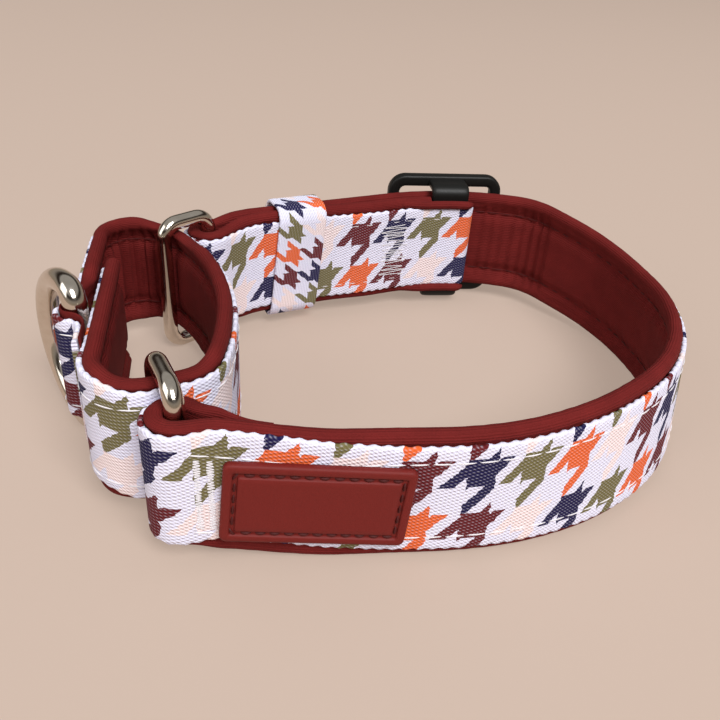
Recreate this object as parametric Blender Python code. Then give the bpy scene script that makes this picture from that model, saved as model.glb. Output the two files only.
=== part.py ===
"""Padded martingale collar, lying closed on a table.

A printed webbing strap with a padded lining runs round the neck opening from the front ring to the
rear ring. Past the rear ring it turns back as a tail, through a keeper, and ends round the centre bar
of the slider that sets the size. A second padded strap, the control loop, runs through both rings and
holds the D-ring in a tunnel. Lengths are metres, the front of the neck faces -Y and +Z is up.
"""

import math

import bmesh
import bpy
import numpy as np
from mathutils import Matrix

# Strap layers
WEBBING_WIDTH = 0.025
WEBBING_THICK = 0.0012
LINING_WIDTH = 0.030
LINING_THICK = 0.0028
SEAT_GAP = 0.0003
CHANNEL_HEIGHT = 0.0092
CHANNEL_DEPTH = 0.0010
CROWN_HEIGHT = 0.0061
CROWN_DROP = 0.0001
EDGE_ROLL = 0.0007
EDGE_FLAT = 0.0017
SQUEEZED_WIDTH = 0.0274
SQUEEZE_EASE = 0.008

# Front ring and rear ring
RING_WIRE = 0.0038
RING_CORNER = 0.0040
RING_PLAY = 0.0004
RING_HEADROOM = 0.0007

# D-ring
D_WIRE = 0.0052
D_REACH = 0.0203
D_CORNER = 0.0036
D_PLAY = 0.0005
D_HEADING = math.radians(131)

# Control loop, with its walls at the two rings round one upright line, its pivot
LOOP_FRONT_RADIUS = 0.058
LOOP_REAR_RADIUS = 0.0233
LOOP_LEFT_CORNER = 0.010
LOOP_FRONT_FROM = math.radians(27)
LOOP_FRONT_TO = math.radians(34)
LOOP_SIDE = math.radians(88)
LOOP_REAR_FROM = math.radians(130)
LOOP_REAR_TO = math.radians(160)
LOOP_LEFT_HEADING = math.radians(282)
D_BAR_FROM_CORNER = 0.0210
LAP_BEHIND = 0.0205
FLAP_LENGTH = 0.0060
TUNNEL_CREASE = 0.0040
TUNNEL_PAD = 0.0010

# Neck opening, seen from above
FRONT_RING_PLACE = (-0.03331, -0.05820)
FRONT_RING_TURN = math.radians(119)
REAR_RING_TURN = math.radians(228)
FRONT_HEADING = math.radians(8)
FRONT_STRAIGHT = 0.048
FRONT_RIGHT_RADIUS = 0.0755
SIDE_HEADING = math.radians(47)
SIDE_RADIUS = 0.058
REAR_SIDE_HEADING = math.radians(100)
REAR_SIDE_RADIUS = 0.056
APEX_HEADING = math.radians(133)
APEX_RADIUS = 0.020
BACK_HEADING = math.radians(168)
BACK_RADIUS = 0.060
TAIL_HEADING = math.radians(207.5)
SIDE_LEAN = 0.11

# Folds round the rings
FOLD_BLEND_RADIUS = 0.018
FRONT_RETURN = 0.004
LIFT_RUN = 0.030

# Slider
SLIDER_LENGTH = 0.035
SLIDER_SIDE_BAR = 0.0035
SLIDER_RAIL = 0.0034
TABLE_GAP = 0.0002
SLIDER_DEPTH = 0.0035
SLIDER_CORNER = 0.0050
SLIDER_CHAMFER = 0.0006
SLOT_PLAY = 0.0007
CENTRE_BAR_WIDTH = 0.011
CENTRE_BAR_THICK = 0.0024
BAR_EDGE = 0.0007
SLIDER_PLACE = math.radians(189)
TAIL_RETURN = 0.018

# Keeper
KEEPER_WIDTH = 0.0138
KEEPER_THICK = 0.0011
KEEPER_CORNER = 0.0022
KEEPER_LAP = 0.012
KEEPER_SEAM_LENGTH = 0.011
KEEPER_TRAVEL = 0.004
KEEPER_FROM_RING = 0.0245

# Label patch and thread
LABEL_LENGTH = 0.0345
LABEL_HEIGHT = 0.018
LABEL_THICK = 0.0016
LABEL_CORNER = 0.0022
LABEL_EDGE = 0.0005
LABEL_FROM_RING = 0.0249
LABEL_RISE = 0.0007
STITCH_INSET = 0.0022
GROOVE_WIDTH = 0.0013
GROOVE_DEPTH = 0.0006
THREAD = 0.0005
BARTACK_HEIGHT = 0.016
BARTACK_WIDTH = 0.0013
BARTACK_STITCHES = 8
FRONT_BARTACKS = (0.0038, 0.0061)
TAIL_BARTACK_WIDTH = 0.009

# Smoothness of the sampled curves
MAX_TURN = math.radians(15)
MAX_STEP = 0.012
TAIL_STEP = 0.003

# Sizes that follow from those above
SKIN = SEAT_GAP + WEBBING_THICK
STACK = LINING_THICK + SKIN
FOLD_RADIUS = RING_WIRE / 2 + SEAT_GAP + LINING_THICK
LOOP_FROM_RING = FOLD_RADIUS + SKIN + SEAT_GAP + SKIN
RING_SPACING = LOOP_FROM_RING + LINING_THICK + SEAT_GAP + RING_PLAY + RING_WIRE / 2
SQUEEZED_HALF = SQUEEZED_WIDTH / 2
D_HALF = SQUEEZED_HALF + D_PLAY + D_WIRE / 2
LOOP_LIFT = D_HALF + D_WIRE / 2 - LINING_WIDTH / 2
RING_INNER = LOOP_LIFT + LINING_WIDTH / 2 + SQUEEZED_HALF + RING_HEADROOM - RING_WIRE
RING_HALF = (RING_INNER + RING_WIRE) / 2
LAP_SHIFT = STACK + SEAT_GAP
D_BAR_OUT = SKIN + SEAT_GAP + D_WIRE / 2
TUNNEL_RADIUS = D_WIRE / 2 + SEAT_GAP + TUNNEL_PAD
TAIL_IN = 2 * LINING_THICK + SEAT_GAP
RETURN_MID = LINING_THICK + SEAT_GAP + WEBBING_THICK / 2
BAR_HALF = CENTRE_BAR_WIDTH / 2
RETURN_IN = RETURN_MID + WEBBING_THICK / 2
BAR_OUT = BACK_RADIUS - math.sqrt((BACK_RADIUS - RETURN_IN) ** 2 - BAR_HALF**2) + SEAT_GAP
BAR_IN = BAR_OUT + CENTRE_BAR_THICK
TAIL_MID_AT_BAR = BAR_IN + SEAT_GAP + WEBBING_THICK / 2
TAIL_MID = TAIL_IN + SEAT_GAP + WEBBING_THICK / 2
SLOT_HALF = LINING_WIDTH / 2 + SLOT_PLAY
SLIDER_LIFT = SLOT_HALF + SLIDER_RAIL + TABLE_GAP - LINING_WIDTH / 2
RING_LIFT = RING_WIRE + RING_HEADROOM + SQUEEZED_HALF - LINING_WIDTH / 2
WEB_EDGE = WEBBING_WIDTH / 2 + SEAT_GAP / 2
SQUEEZED_SHARE = (SQUEEZED_HALF - WEB_EDGE) / (LINING_WIDTH / 2 - WEB_EDGE)


# Paths in plan


def unit(heading):
    """Plan direction of a heading."""
    return np.array([math.cos(heading), math.sin(heading)])


def left_of(heading):
    """Plan direction square to a heading, on its left."""
    return unit(heading + math.pi / 2)


def line(length):
    """A straight move, as (length, turn)."""
    return (length, 0.0)


def arc(radius, turn):
    """A round move: left for a positive turn, right for a negative one."""
    return (radius * abs(turn), turn)


def smooth(share):
    """Ease from 0 to 1 with level ends."""
    share = np.clip(share, 0.0, 1.0)
    return share * share * (3 - 2 * share)


class Path:
    """A run of straight and round moves, with points, headings and run lengths along it."""

    def __init__(self, start, heading, moves):
        self.knots = [(0.0, np.array(start, float), heading)]
        self.moves = moves
        for length, turn in moves:
            run, point, ahead = self.knots[-1]
            self.knots.append((run + length, self.step(point, ahead, length, turn, 1.0), ahead + turn))
        self.length = self.knots[-1][0]
        self.end = self.knots[-1][1]

    @staticmethod
    def step(point, heading, length, turn, share):
        """Where a share of one move leads."""
        if turn == 0.0:
            return point + unit(heading) * length * share
        radius = length / turn
        return point + radius * (left_of(heading) - left_of(heading + turn * share))

    def at(self, run):
        """Point and heading at one run length."""
        for (length, turn), (begin, point, heading) in zip(self.moves, self.knots):
            if run <= begin + length or begin + length == self.length:
                share = (run - begin) / length
                return self.step(point, heading, length, turn, share), heading + turn * share
        raise ValueError("run is past the path")

    def runs(self):
        """Run lengths that sample each move finely enough."""
        found = [0.0]
        for (length, turn), (begin, _, _) in zip(self.moves, self.knots):
            count = max(1, math.ceil(abs(turn) / MAX_TURN), math.ceil(length / MAX_STEP))
            found.extend(begin + length * (k + 1) / count for k in range(count))
        return np.array(found)

    def sample(self, runs):
        """Points and headings at many run lengths."""
        pairs = [self.at(run) for run in runs]
        return np.array([point for point, _ in pairs]), np.array([heading for _, heading in pairs])


# Meshes


def finish(name, mesh, material, origin=(0.0, 0.0, 0.0), turn=0.0, smooth_angle=40):
    """Put a mesh into the scene as a named, shaded piece."""
    body = bmesh.new()
    body.from_mesh(mesh)
    bmesh.ops.recalc_face_normals(body, faces=body.faces)
    body.to_mesh(mesh)
    body.free()
    mesh.shade_smooth()
    mesh.set_sharp_from_angle(angle=math.radians(smooth_angle))
    piece = bpy.data.objects.new(name, mesh)
    piece.location = origin
    piece.rotation_euler = (0.0, 0.0, turn)
    mesh.materials.append(material)
    bpy.context.scene.collection.objects.link(piece)
    return piece


def loft(name, rings, closed=False):
    """Skin equal rings of points in order, capping the first and last unless the rings close up."""
    count = len(rings[0])
    points = np.concatenate(rings)
    faces = []
    for row in range(len(rings) if closed else len(rings) - 1):
        after = (row + 1) % len(rings)
        for k in range(count):
            nxt = (k + 1) % count
            faces.append((row * count + k, row * count + nxt, after * count + nxt, after * count + k))
    if not closed:
        faces.append(tuple(range(count)))
        faces.append(tuple(range((len(rings) - 1) * count, len(rings) * count)))
    mesh = bpy.data.meshes.new(name)
    mesh.from_pydata([tuple(point) for point in points], [], faces)
    return mesh


def sweep(name, points, headings, section, low, high, lift=0.0, lean=0.0, edge=1.0):
    """Carry a section along a plan path: (share from low to high on the left, height) for each point.

    The edge share draws in what stands past the webbing's edges.
    """
    count = len(points)
    low, high, lift, lean, edge = (np.broadcast_to(value, count) for value in (low, high, lift, lean, edge))
    past = np.maximum(np.abs(section[:, 1]) - WEB_EDGE, 0.0) * np.sign(section[:, 1])
    rings = []
    for k in range(count):
        left = left_of(headings[k])
        side = low[k] + section[:, 0] * (high[k] - low[k]) + lean[k] * section[:, 1]
        plan = points[k] + side[:, None] * left
        height = section[:, 1] - past * (1 - edge[k])
        rings.append(np.column_stack([plan, height + LINING_WIDTH / 2 + lift[k]]))
    return loft(name, rings)


def squeeze(runs, spots):
    """Edge share along a strap whose soft edges are pressed in at spots, each (middle, half length)."""
    pressed = np.zeros(len(runs))
    for middle, half in spots:
        away = (np.abs(runs - middle) - half) / SQUEEZE_EASE
        pressed = np.maximum(pressed, 1 - smooth(away))
    return 1 - pressed * (1 - SQUEEZED_SHARE)


def thread_run(name, points, material, cyclic=False):
    """One unbroken run of sewing thread through points."""
    curve = bpy.data.curves.new(name, "CURVE")
    curve.dimensions = "3D"
    curve.bevel_depth = THREAD / 2
    curve.bevel_resolution = 1
    curve.use_fill_caps = True
    run = curve.splines.new("POLY")
    run.points.add(len(points) - 1)
    for knot, place in zip(run.points, points):
        knot.co = (*place, 1.0)
    run.use_cyclic_u = cyclic
    curve.materials.append(material)
    piece = bpy.data.objects.new(name, curve)
    bpy.context.scene.collection.objects.link(piece)
    return piece


def wire_ring(name, outline, wire, material, origin, turn):
    """A closed ring of round wire; the outline is (out, up) from the origin."""
    curve = bpy.data.curves.new(name, "CURVE")
    curve.dimensions = "3D"
    curve.bevel_depth = wire / 2
    curve.bevel_resolution = 3
    run = curve.splines.new("POLY")
    run.points.add(len(outline) - 1)
    for knot, (out, up) in zip(run.points, outline):
        knot.co = (out, 0.0, up, 1.0)
    run.use_cyclic_u = True
    curve.materials.append(material)
    piece = bpy.data.objects.new(name, curve)
    piece.location = origin
    piece.rotation_euler = (0.0, 0.0, turn)
    bpy.context.scene.collection.objects.link(piece)
    return piece


def round_corners(half_width, half_height, radius, steps, inset=0.0):
    """Outline of a rectangle with round corners, as (x, z) rows."""
    radius = max(radius - inset, 0.0002)
    wide = half_width - inset - radius
    high = half_height - inset - radius
    angles = np.linspace(0, math.pi / 2, steps)
    rows = []
    for quarter, (sx, sz) in enumerate(((1, 1), (-1, 1), (-1, -1), (1, -1))):
        turned = angles + quarter * math.pi / 2
        rows.append(np.column_stack([sx * wide + radius * np.cos(turned), sz * high + radius * np.sin(turned)]))
    return np.concatenate(rows)


def finish_of(name, colour, roughness, metallic=0.0):
    """A plain surface finish."""
    material = bpy.data.materials.new(name)
    material.use_nodes = True
    shader = material.node_tree.nodes["Principled BSDF"]
    shader.inputs["Base Color"].default_value = (*colour, 1.0)
    shader.inputs["Roughness"].default_value = roughness
    shader.inputs["Metallic"].default_value = metallic
    return material


# Sections across the straps, as (share of the layer's thickness, height from the middle)


def webbing_section():
    """Flat woven tape with a rounded selvedge."""
    half = WEBBING_WIDTH / 2
    edge = half - WEBBING_THICK / 2
    return np.array([(0, -edge), (0.5, -half), (1, -edge), (1, edge), (0.5, half), (0, edge)])


def lining_section():
    """Soft pad: flat against the webbing, rolled at both edges, drawn in along two sewn channels."""
    half = LINING_WIDTH / 2
    roll = -EDGE_ROLL / LINING_THICK
    flat = EDGE_FLAT / LINING_THICK
    drawn = 1 - CHANNEL_DEPTH / LINING_THICK
    crown = 1 - CROWN_DROP / LINING_THICK
    upper = [
        (0.0, WEB_EDGE),
        (roll, (WEB_EDGE + half) / 2),
        (0.5 - flat / 2, half),
        (0.5 + flat / 2, half),
        (crown, (WEB_EDGE + half) / 2),
        (drawn, CHANNEL_HEIGHT),
        (crown, CROWN_HEIGHT),
    ]
    lower = [(share, -height) for share, height in reversed(upper)]
    return np.array([*upper, (1.0, 0.0), *lower])


# Where the loop, the rings and the neck strap lie


FRONT_RING = np.array(FRONT_RING_PLACE)
LOOP_PIVOT = FRONT_RING + unit(FRONT_RING_TURN) * (LOOP_FRONT_RADIUS + LOOP_FROM_RING)
REAR_RING = LOOP_PIVOT - unit(REAR_RING_TURN) * (LOOP_REAR_RADIUS + LOOP_FROM_RING)


def fold_moves():
    """A teardrop fold: half a turn round the ring, and an easy bend that brings the two layers together."""
    open_side = 2 * FOLD_RADIUS
    shut_side = 2 * LINING_THICK + SEAT_GAP
    turn = math.acos(1 - (open_side - shut_side) / (FOLD_RADIUS + FOLD_BLEND_RADIUS))
    return arc(FOLD_BLEND_RADIUS, -turn), arc(FOLD_RADIUS, math.pi + turn)


def neck_moves(side_line, back_line):
    """The moves of the neck strap, from the end of its front fold to the start of its rear fold."""
    return [
        line(FRONT_STRAIGHT),
        arc(FRONT_RIGHT_RADIUS, SIDE_HEADING - FRONT_HEADING),
        arc(SIDE_RADIUS, REAR_SIDE_HEADING - SIDE_HEADING),
        arc(REAR_SIDE_RADIUS, APEX_HEADING - REAR_SIDE_HEADING),
        line(side_line),
        arc(APEX_RADIUS, BACK_HEADING - APEX_HEADING),
        arc(BACK_RADIUS, TAIL_HEADING - BACK_HEADING),
        line(back_line),
    ]


def neck_path():
    """The neck strap between the rings, with its two free straights set so that it ends at the rear ring."""
    start = FRONT_RING - left_of(FRONT_HEADING) * FOLD_RADIUS
    target = REAR_RING - left_of(TAIL_HEADING) * FOLD_RADIUS
    bare = [move for move in neck_moves(0.0, 0.0) if move[0] > 0.0]
    missing = target - Path(start, FRONT_HEADING, bare).end
    sides = np.column_stack([unit(APEX_HEADING), unit(TAIL_HEADING)])
    side_line, back_line = np.linalg.solve(sides, missing)
    print("free straights of the neck strap, mm:", round(side_line * 1000, 1), round(back_line * 1000, 1))
    return Path(start, FRONT_HEADING, neck_moves(side_line, back_line))


NECK = neck_path()
LIFT_STARTS = NECK.knots[3][0]
LIFT_FULL = NECK.knots[6][0]
SLIDER_RUN = NECK.knots[6][0] + BACK_RADIUS * (SLIDER_PLACE - BACK_HEADING)
KEEPER_RUN = NECK.length - KEEPER_FROM_RING
SETTLE_RUN = KEEPER_RUN + KEEPER_WIDTH / 2 + KEEPER_TRAVEL


def neck_lift(run):
    """The strap is held up by the rings and the slider, and comes down to the table at the front right."""
    front = 1 - smooth(run / LIFT_RUN)
    rise = smooth((run - LIFT_STARTS) / (LIFT_FULL - LIFT_STARTS))
    settle = smooth((run - SETTLE_RUN) / (NECK.length - SETTLE_RUN))
    return RING_LIFT * front + SLIDER_LIFT * rise + (RING_LIFT - SLIDER_LIFT) * settle


def neck_lean(run):
    """The top of the strap leans into the neck on the round right side."""
    lean_in = smooth((run - NECK.knots[1][0]) / (NECK.knots[2][0] - NECK.knots[1][0]))
    lean_out = smooth((run - NECK.knots[3][0]) / (NECK.knots[6][0] - NECK.knots[3][0]))
    return SIDE_LEAN * (lean_in - lean_out)


def neck_point(run, side, up=0.0):
    """A place on the strap: run along it, side towards the neck, up from its middle."""
    point, heading = NECK.at(run)
    plan = point + left_of(heading) * side
    return (plan[0], plan[1], LINING_WIDTH / 2 + neck_lift(run) + up)


def main_strap_path():
    """Front return, front fold, neck strap, rear fold and the start of the tail up to the keeper's middle."""
    ease, fold = fold_moves()
    lead = [line(FRONT_RETURN), ease, fold]
    shape = Path((0.0, 0.0), FRONT_HEADING + math.pi, lead)
    start = NECK.knots[0][1] - shape.end
    ease_length = (FOLD_RADIUS + FOLD_BLEND_RADIUS) * math.sin(-ease[1] / ease[0] * FOLD_BLEND_RADIUS)
    tail_line = KEEPER_FROM_RING - ease_length
    moves = [*lead, *NECK.moves, fold, ease, line(tail_line)]
    return Path(start, FRONT_HEADING + math.pi, moves), shape.length


# Pieces


def build_main_strap(print_cloth, padding):
    """The neck strap's webbing and lining, one strip from the front return to the keeper."""
    path, lead = main_strap_path()
    runs = path.runs()
    points, headings = path.sample(runs)
    fold = fold_moves()[1][0]
    ahead = runs - lead
    doubled = np.maximum(-ahead - fold, 0.0) - np.maximum(ahead - NECK.length - fold, 0.0)
    neck_run = np.clip(ahead, 0.0, NECK.length) + doubled
    lift = neck_lift(neck_run)
    lean = neck_lean(neck_run)
    webbing = sweep("main_webbing", points, headings, webbing_section(), -SKIN, -SEAT_GAP, lift, lean)
    finish("main_webbing", webbing, print_cloth)
    spots = [(lead - fold / 2, fold / 2), (lead + NECK.length + fold / 2, fold / 2)]
    edge = squeeze(runs, spots)
    lining = sweep("main_lining", points, headings, lining_section(), 0.0, LINING_THICK, lift, lean, edge)
    finish("main_lining", lining, padding)


def tail_rows(begin, end, side):
    """Points, headings and lifts of a tail layer's middle, towards the slider, at a side that may vary."""
    count = 1 + math.ceil(abs(begin - end) / TAIL_STEP)
    runs = np.linspace(begin, end, count)
    places = np.array([neck_point(run, side(run)) for run in runs])
    return places[:, :2], runs, places[:, 2] - LINING_WIDTH / 2


def plan_headings(points):
    """Heading at each point of a plan polyline."""
    ahead = np.gradient(points, axis=0)
    return np.unwrap(np.arctan2(ahead[:, 1], ahead[:, 0]))


def tail_side(run):
    """Middle of the tail's webbing: it rises a little to clear the slider's bar."""
    rise = smooth((KEEPER_RUN - KEEPER_WIDTH / 2 - run) / (KEEPER_RUN - KEEPER_WIDTH / 2 - RETURN_END))
    return TAIL_MID + (TAIL_MID_AT_BAR - TAIL_MID) * rise


def tail_under(run):
    """Lower face of the tail's lining: it climbs on to the end that is turned back."""
    rise = smooth((RETURN_END + 3 * LINING_THICK - run) / (2 * LINING_THICK))
    return LINING_THICK + SEAT_GAP + (WEBBING_THICK + SEAT_GAP) * rise


def run_beside_bar(along):
    """Run length whose innermost layer lies a straight distance along the strap from the slider's middle."""
    return SLIDER_RUN + BACK_RADIUS * math.asin(along / (BACK_RADIUS - TAIL_MID_AT_BAR))


RETURN_END = run_beside_bar(BAR_HALF) + TAIL_RETURN
TAIL_START = KEEPER_RUN - SEAT_GAP


def build_tail(print_cloth, padding):
    """The tail from the keeper to the slider, its webbing turned round the centre bar and back."""
    wrap = (TAIL_MID_AT_BAR - RETURN_MID) / 2
    bar_mid = (TAIL_MID_AT_BAR + RETURN_MID) / 2
    turn_run = run_beside_bar(CENTRE_BAR_THICK / 2 - BAR_HALF)
    outward, _, lift_out = tail_rows(TAIL_START, turn_run, tail_side)
    centre, heading = NECK.at(turn_run)
    centre = centre + left_of(heading) * bar_mid
    sweep_angles = np.linspace(0, math.pi, 9)[1:-1]
    around = [centre + left_of(heading + angle) * wrap for angle in sweep_angles]
    back, _, lift_back = tail_rows(turn_run, RETURN_END, lambda run: RETURN_MID)
    points = np.concatenate([outward, around, back])
    headings = plan_headings(points)
    half = WEBBING_THICK / 2
    lift = np.concatenate([lift_out, np.full(len(around), lift_back[0]), lift_back])
    webbing = sweep("tail_webbing", points, headings, webbing_section(), -half, half, lift)
    finish("tail_webbing", webbing, print_cloth)
    lining_end = run_beside_bar(BAR_HALF + SEAT_GAP)
    points, runs, lift = tail_rows(TAIL_START, lining_end, lambda run: 0.0)
    headings = plan_headings(points)
    inner = np.array([tail_side(run) - WEBBING_THICK / 2 - SEAT_GAP for run in runs])
    under = np.array([tail_under(run) for run in runs])
    lining = sweep("tail_lining", points, headings, lining_section(), -inner, -under, lift)
    finish("tail_lining", lining, padding)


def build_rings(steel):
    """The two wire rings: one leg in a fold of the neck strap, the other inside the control loop."""
    outline = round_corners(RING_SPACING / 2, RING_HALF, RING_CORNER, 5)
    outline[:, 0] += RING_SPACING / 2
    height = RING_HALF + RING_WIRE / 2
    wire_ring("front_ring", outline, RING_WIRE, steel, (*FRONT_RING, height), FRONT_RING_TURN)
    wire_ring("rear_ring", outline, RING_WIRE, steel, (*REAR_RING, height), REAR_RING_TURN)


LOOP_DOWN = unit(LOOP_LEFT_HEADING)
LOOP_OUT = -left_of(LOOP_LEFT_HEADING)
FRONT_CORNER = -LOOP_FRONT_RADIUS * left_of(LOOP_FRONT_FROM) - LOOP_LEFT_CORNER * (
    left_of(LOOP_LEFT_HEADING) - left_of(LOOP_FRONT_FROM)
)
LOOP_LEFT = FRONT_CORNER @ LOOP_OUT
D_BAR_DOWN = FRONT_CORNER @ LOOP_DOWN - D_BAR_FROM_CORNER


def loop_path():
    """The control loop from its inner end, once round, to the flap past the D-ring's bar.

    Seen from the pivot, a wall of radius r and heading h stands at -r * left_of(h), which gives the
    radii of the right side and of the rear left corner.
    """
    front, side, rear = (left_of(h) for h in (LOOP_FRONT_TO, LOOP_SIDE, LOOP_REAR_FROM))
    gap = LOOP_FRONT_RADIUS * front - LOOP_REAR_RADIUS * rear
    tight, bow = np.linalg.solve(np.column_stack([front - side, side - rear]), gap)
    rear_end = -LOOP_REAR_RADIUS * left_of(LOOP_REAR_TO)
    turn_in = left_of(LOOP_REAR_TO) - left_of(LOOP_LEFT_HEADING)
    rear_corner = (LOOP_LEFT + LAP_SHIFT - rear_end @ LOOP_OUT) / (turn_in @ LOOP_OUT)
    rear_down = (rear_end + rear_corner * turn_in) @ LOOP_DOWN
    rise = D_BAR_OUT + TUNNEL_RADIUS - LAP_SHIFT
    bend = math.acos(1 - rise / (TUNNEL_RADIUS + TUNNEL_CREASE))
    reach = (TUNNEL_RADIUS + TUNNEL_CREASE) * math.sin(bend)
    print("loop radii, mm:", np.round(np.array([tight, bow, rear_corner]) * 1000, 1))
    moves = [
        line(LAP_BEHIND + D_BAR_FROM_CORNER),
        arc(LOOP_LEFT_CORNER, LOOP_FRONT_FROM + 2 * math.pi - LOOP_LEFT_HEADING),
        arc(LOOP_FRONT_RADIUS, LOOP_FRONT_TO - LOOP_FRONT_FROM),
        arc(tight, LOOP_SIDE - LOOP_FRONT_TO),
        arc(bow, LOOP_REAR_FROM - LOOP_SIDE),
        arc(LOOP_REAR_RADIUS, LOOP_REAR_TO - LOOP_REAR_FROM),
        arc(rear_corner, LOOP_LEFT_HEADING - LOOP_REAR_TO),
        line(D_BAR_DOWN - reach - rear_down),
        arc(TUNNEL_CREASE, -bend),
        arc(TUNNEL_RADIUS, 2 * bend),
        arc(TUNNEL_CREASE, -bend),
        line(FLAP_LENGTH),
    ]
    start = LOOP_OUT * LOOP_LEFT + LOOP_DOWN * (D_BAR_DOWN - LAP_BEHIND)
    return Path(start, LOOP_LEFT_HEADING - 2 * math.pi, moves)


def build_control_loop(print_cloth, padding, thread):
    """The control loop's webbing, lining and the two bartacks that close the D-ring's tunnel.

    The lining is pressed thin where it wraps the D-ring's bar.
    """
    path = loop_path()
    runs = path.runs()
    points, headings = path.sample(runs)
    knots = [run for run, _, _ in path.knots]
    origin = (*LOOP_PIVOT, 0.0)
    webbing = sweep("loop_webbing", points, headings, webbing_section(), -SKIN, -SEAT_GAP, LOOP_LIFT)
    finish("loop_webbing", webbing, print_cloth, origin)
    at_front = knots[2] + LOOP_FRONT_RADIUS * (FRONT_RING_TURN - math.pi / 2 - LOOP_FRONT_FROM)
    at_rear = knots[5] + LOOP_REAR_RADIUS * (REAR_RING_TURN - math.pi / 2 - LOOP_REAR_FROM)
    at_bar = (knots[8] + knots[11]) / 2
    bump = (knots[11] - knots[8]) / 2
    spots = [(at_front, RING_WIRE * 2), (at_rear, RING_WIRE * 2), (at_bar, bump + D_WIRE)]
    edge = squeeze(runs, spots)
    pressed = 1 - smooth((np.abs(runs - at_bar) - bump) / SQUEEZE_EASE)
    thick = LINING_THICK + (TUNNEL_PAD - LINING_THICK) * pressed
    lining = sweep("loop_lining", points, headings, lining_section(), 0.0, thick, LOOP_LIFT, 0.0, edge)
    finish("loop_lining", lining, padding, origin)
    rear_run = knots[8] - BARTACK_WIDTH
    front_run = knots[12] - BARTACK_WIDTH
    for name, middle in (("loop_bartack_rear", rear_run), ("loop_bartack_front", front_run)):
        places = []
        for run, up in zigzag(middle, BARTACK_WIDTH, BARTACK_HEIGHT, BARTACK_STITCHES):
            point, heading = path.at(run)
            plan = point - left_of(heading) * (SKIN + SEAT_GAP + THREAD / 2)
            places.append((plan[0], plan[1], LINING_WIDTH / 2 + LOOP_LIFT + up))
        thread_run(name, places, thread).location = origin


def zigzag(middle, width, height, stitches):
    """Needle points of a bartack: side to side along the run while it climbs."""
    rows = 2 * stitches + 1
    return [
        (middle + width / 2 * (1 if k % 2 else -1), height * (k / (rows - 1) - 0.5)) for k in range(rows)
    ]


def build_d_ring(steel):
    """The D-ring, its straight bar on the axis that it swings about."""
    arch = np.linspace(0, math.pi, 25)
    bow = np.column_stack([D_CORNER + (D_REACH - D_CORNER) * np.sin(arch), D_HALF * np.cos(arch)])
    bend = np.linspace(0, math.pi / 2, 5)[1:]
    lower = np.column_stack([D_CORNER * (1 - np.sin(bend)), -D_HALF + D_CORNER * (1 - np.cos(bend))])
    upper = lower[::-1] * (1, -1)
    outline = np.concatenate([bow, lower, upper])
    bar = LOOP_PIVOT + LOOP_OUT * (LOOP_LEFT + D_BAR_OUT) + LOOP_DOWN * D_BAR_DOWN
    wire_ring("d_ring", outline, D_WIRE, steel, (*bar, D_HALF + D_WIRE / 2), D_HEADING)
    return bar


def build_slider(plastic):
    """The slider: a flat frame behind the strap and a centre bar that bridges over it to the neck side."""
    centre, heading = NECK.at(SLIDER_RUN)
    half = SLIDER_LENGTH / 2
    high = SLOT_HALF + SLIDER_RAIL
    reach = half - SLIDER_SIDE_BAR
    outer_radius = BACK_RADIUS + SKIN
    front = outer_radius - math.sqrt(outer_radius**2 - reach**2) - SKIN - SEAT_GAP
    rear = front - SLIDER_DEPTH
    inner_corner = SLIDER_CORNER - SLIDER_SIDE_BAR / 2

    def outline(side, inset, hole):
        if hole:
            rows = round_corners(reach, SLOT_HALF, inner_corner, 5, -inset)
        else:
            rows = round_corners(half, high, SLIDER_CORNER, 5, inset)
        return np.column_stack([rows[:, 0], np.full(len(rows), side), rows[:, 1]])

    cut = SLIDER_CHAMFER
    rings = [
        outline(rear, cut, False),
        outline(rear + cut, 0.0, False),
        outline(front - cut, 0.0, False),
        outline(front, cut, False),
        outline(front, cut, True),
        outline(front - cut, 0.0, True),
        outline(rear + cut, 0.0, True),
        outline(rear, cut, True),
    ]
    middle = LINING_WIDTH / 2 + SLIDER_LIFT
    frame = loft("slider", rings, closed=True)
    slider = finish("slider", frame, plastic, (0.0, 0.0, 0.0))
    bridge = finish("slider_bridge", bridge_mesh(rear, high), plastic)
    bridge.hide_render = True
    bridge.display_type = "WIRE"
    join = slider.modifiers.new("bridge", "BOOLEAN")
    join.operation = "UNION"
    join.object = bridge
    pivot = bpy.data.objects.new("slider_pivot", None)
    arc_centre = centre + left_of(heading) * BACK_RADIUS
    pivot.location = (*arc_centre, 0.0)
    bpy.context.scene.collection.objects.link(pivot)
    place = Matrix.Translation((*(centre - arc_centre), middle)) @ Matrix.Rotation(heading, 4, "Z")
    for piece in (slider, bridge):
        piece.parent = pivot
        piece.matrix_local = place
    return arc_centre


def bridge_mesh(rear, high):
    """A staple across the slider: from the rails, over the strap's edges, to the centre bar."""
    root = rear + SLIDER_DEPTH / 2
    rings = []
    for along, inset in (
        (-BAR_HALF, BAR_EDGE),
        (BAR_EDGE - BAR_HALF, 0.0),
        (BAR_HALF - BAR_EDGE, 0.0),
        (BAR_HALF, BAR_EDGE),
    ):
        outer = high - SLIDER_CHAMFER - inset
        inner = SLOT_HALF + inset
        top = BAR_IN - inset
        half = [(root, inner), (BAR_OUT + inset, inner)]
        back = [(top, outer - BAR_EDGE), (top - BAR_EDGE, outer), (root, outer)]
        lower = [(side, -up) for side, up in reversed(half)]
        far = [(side, -up) for side, up in reversed(back)]
        staple = np.array([*half, *lower, *far, *back])
        rings.append(np.column_stack([np.full(len(staple), along), staple]))
    return loft("slider_bridge", rings)


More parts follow.
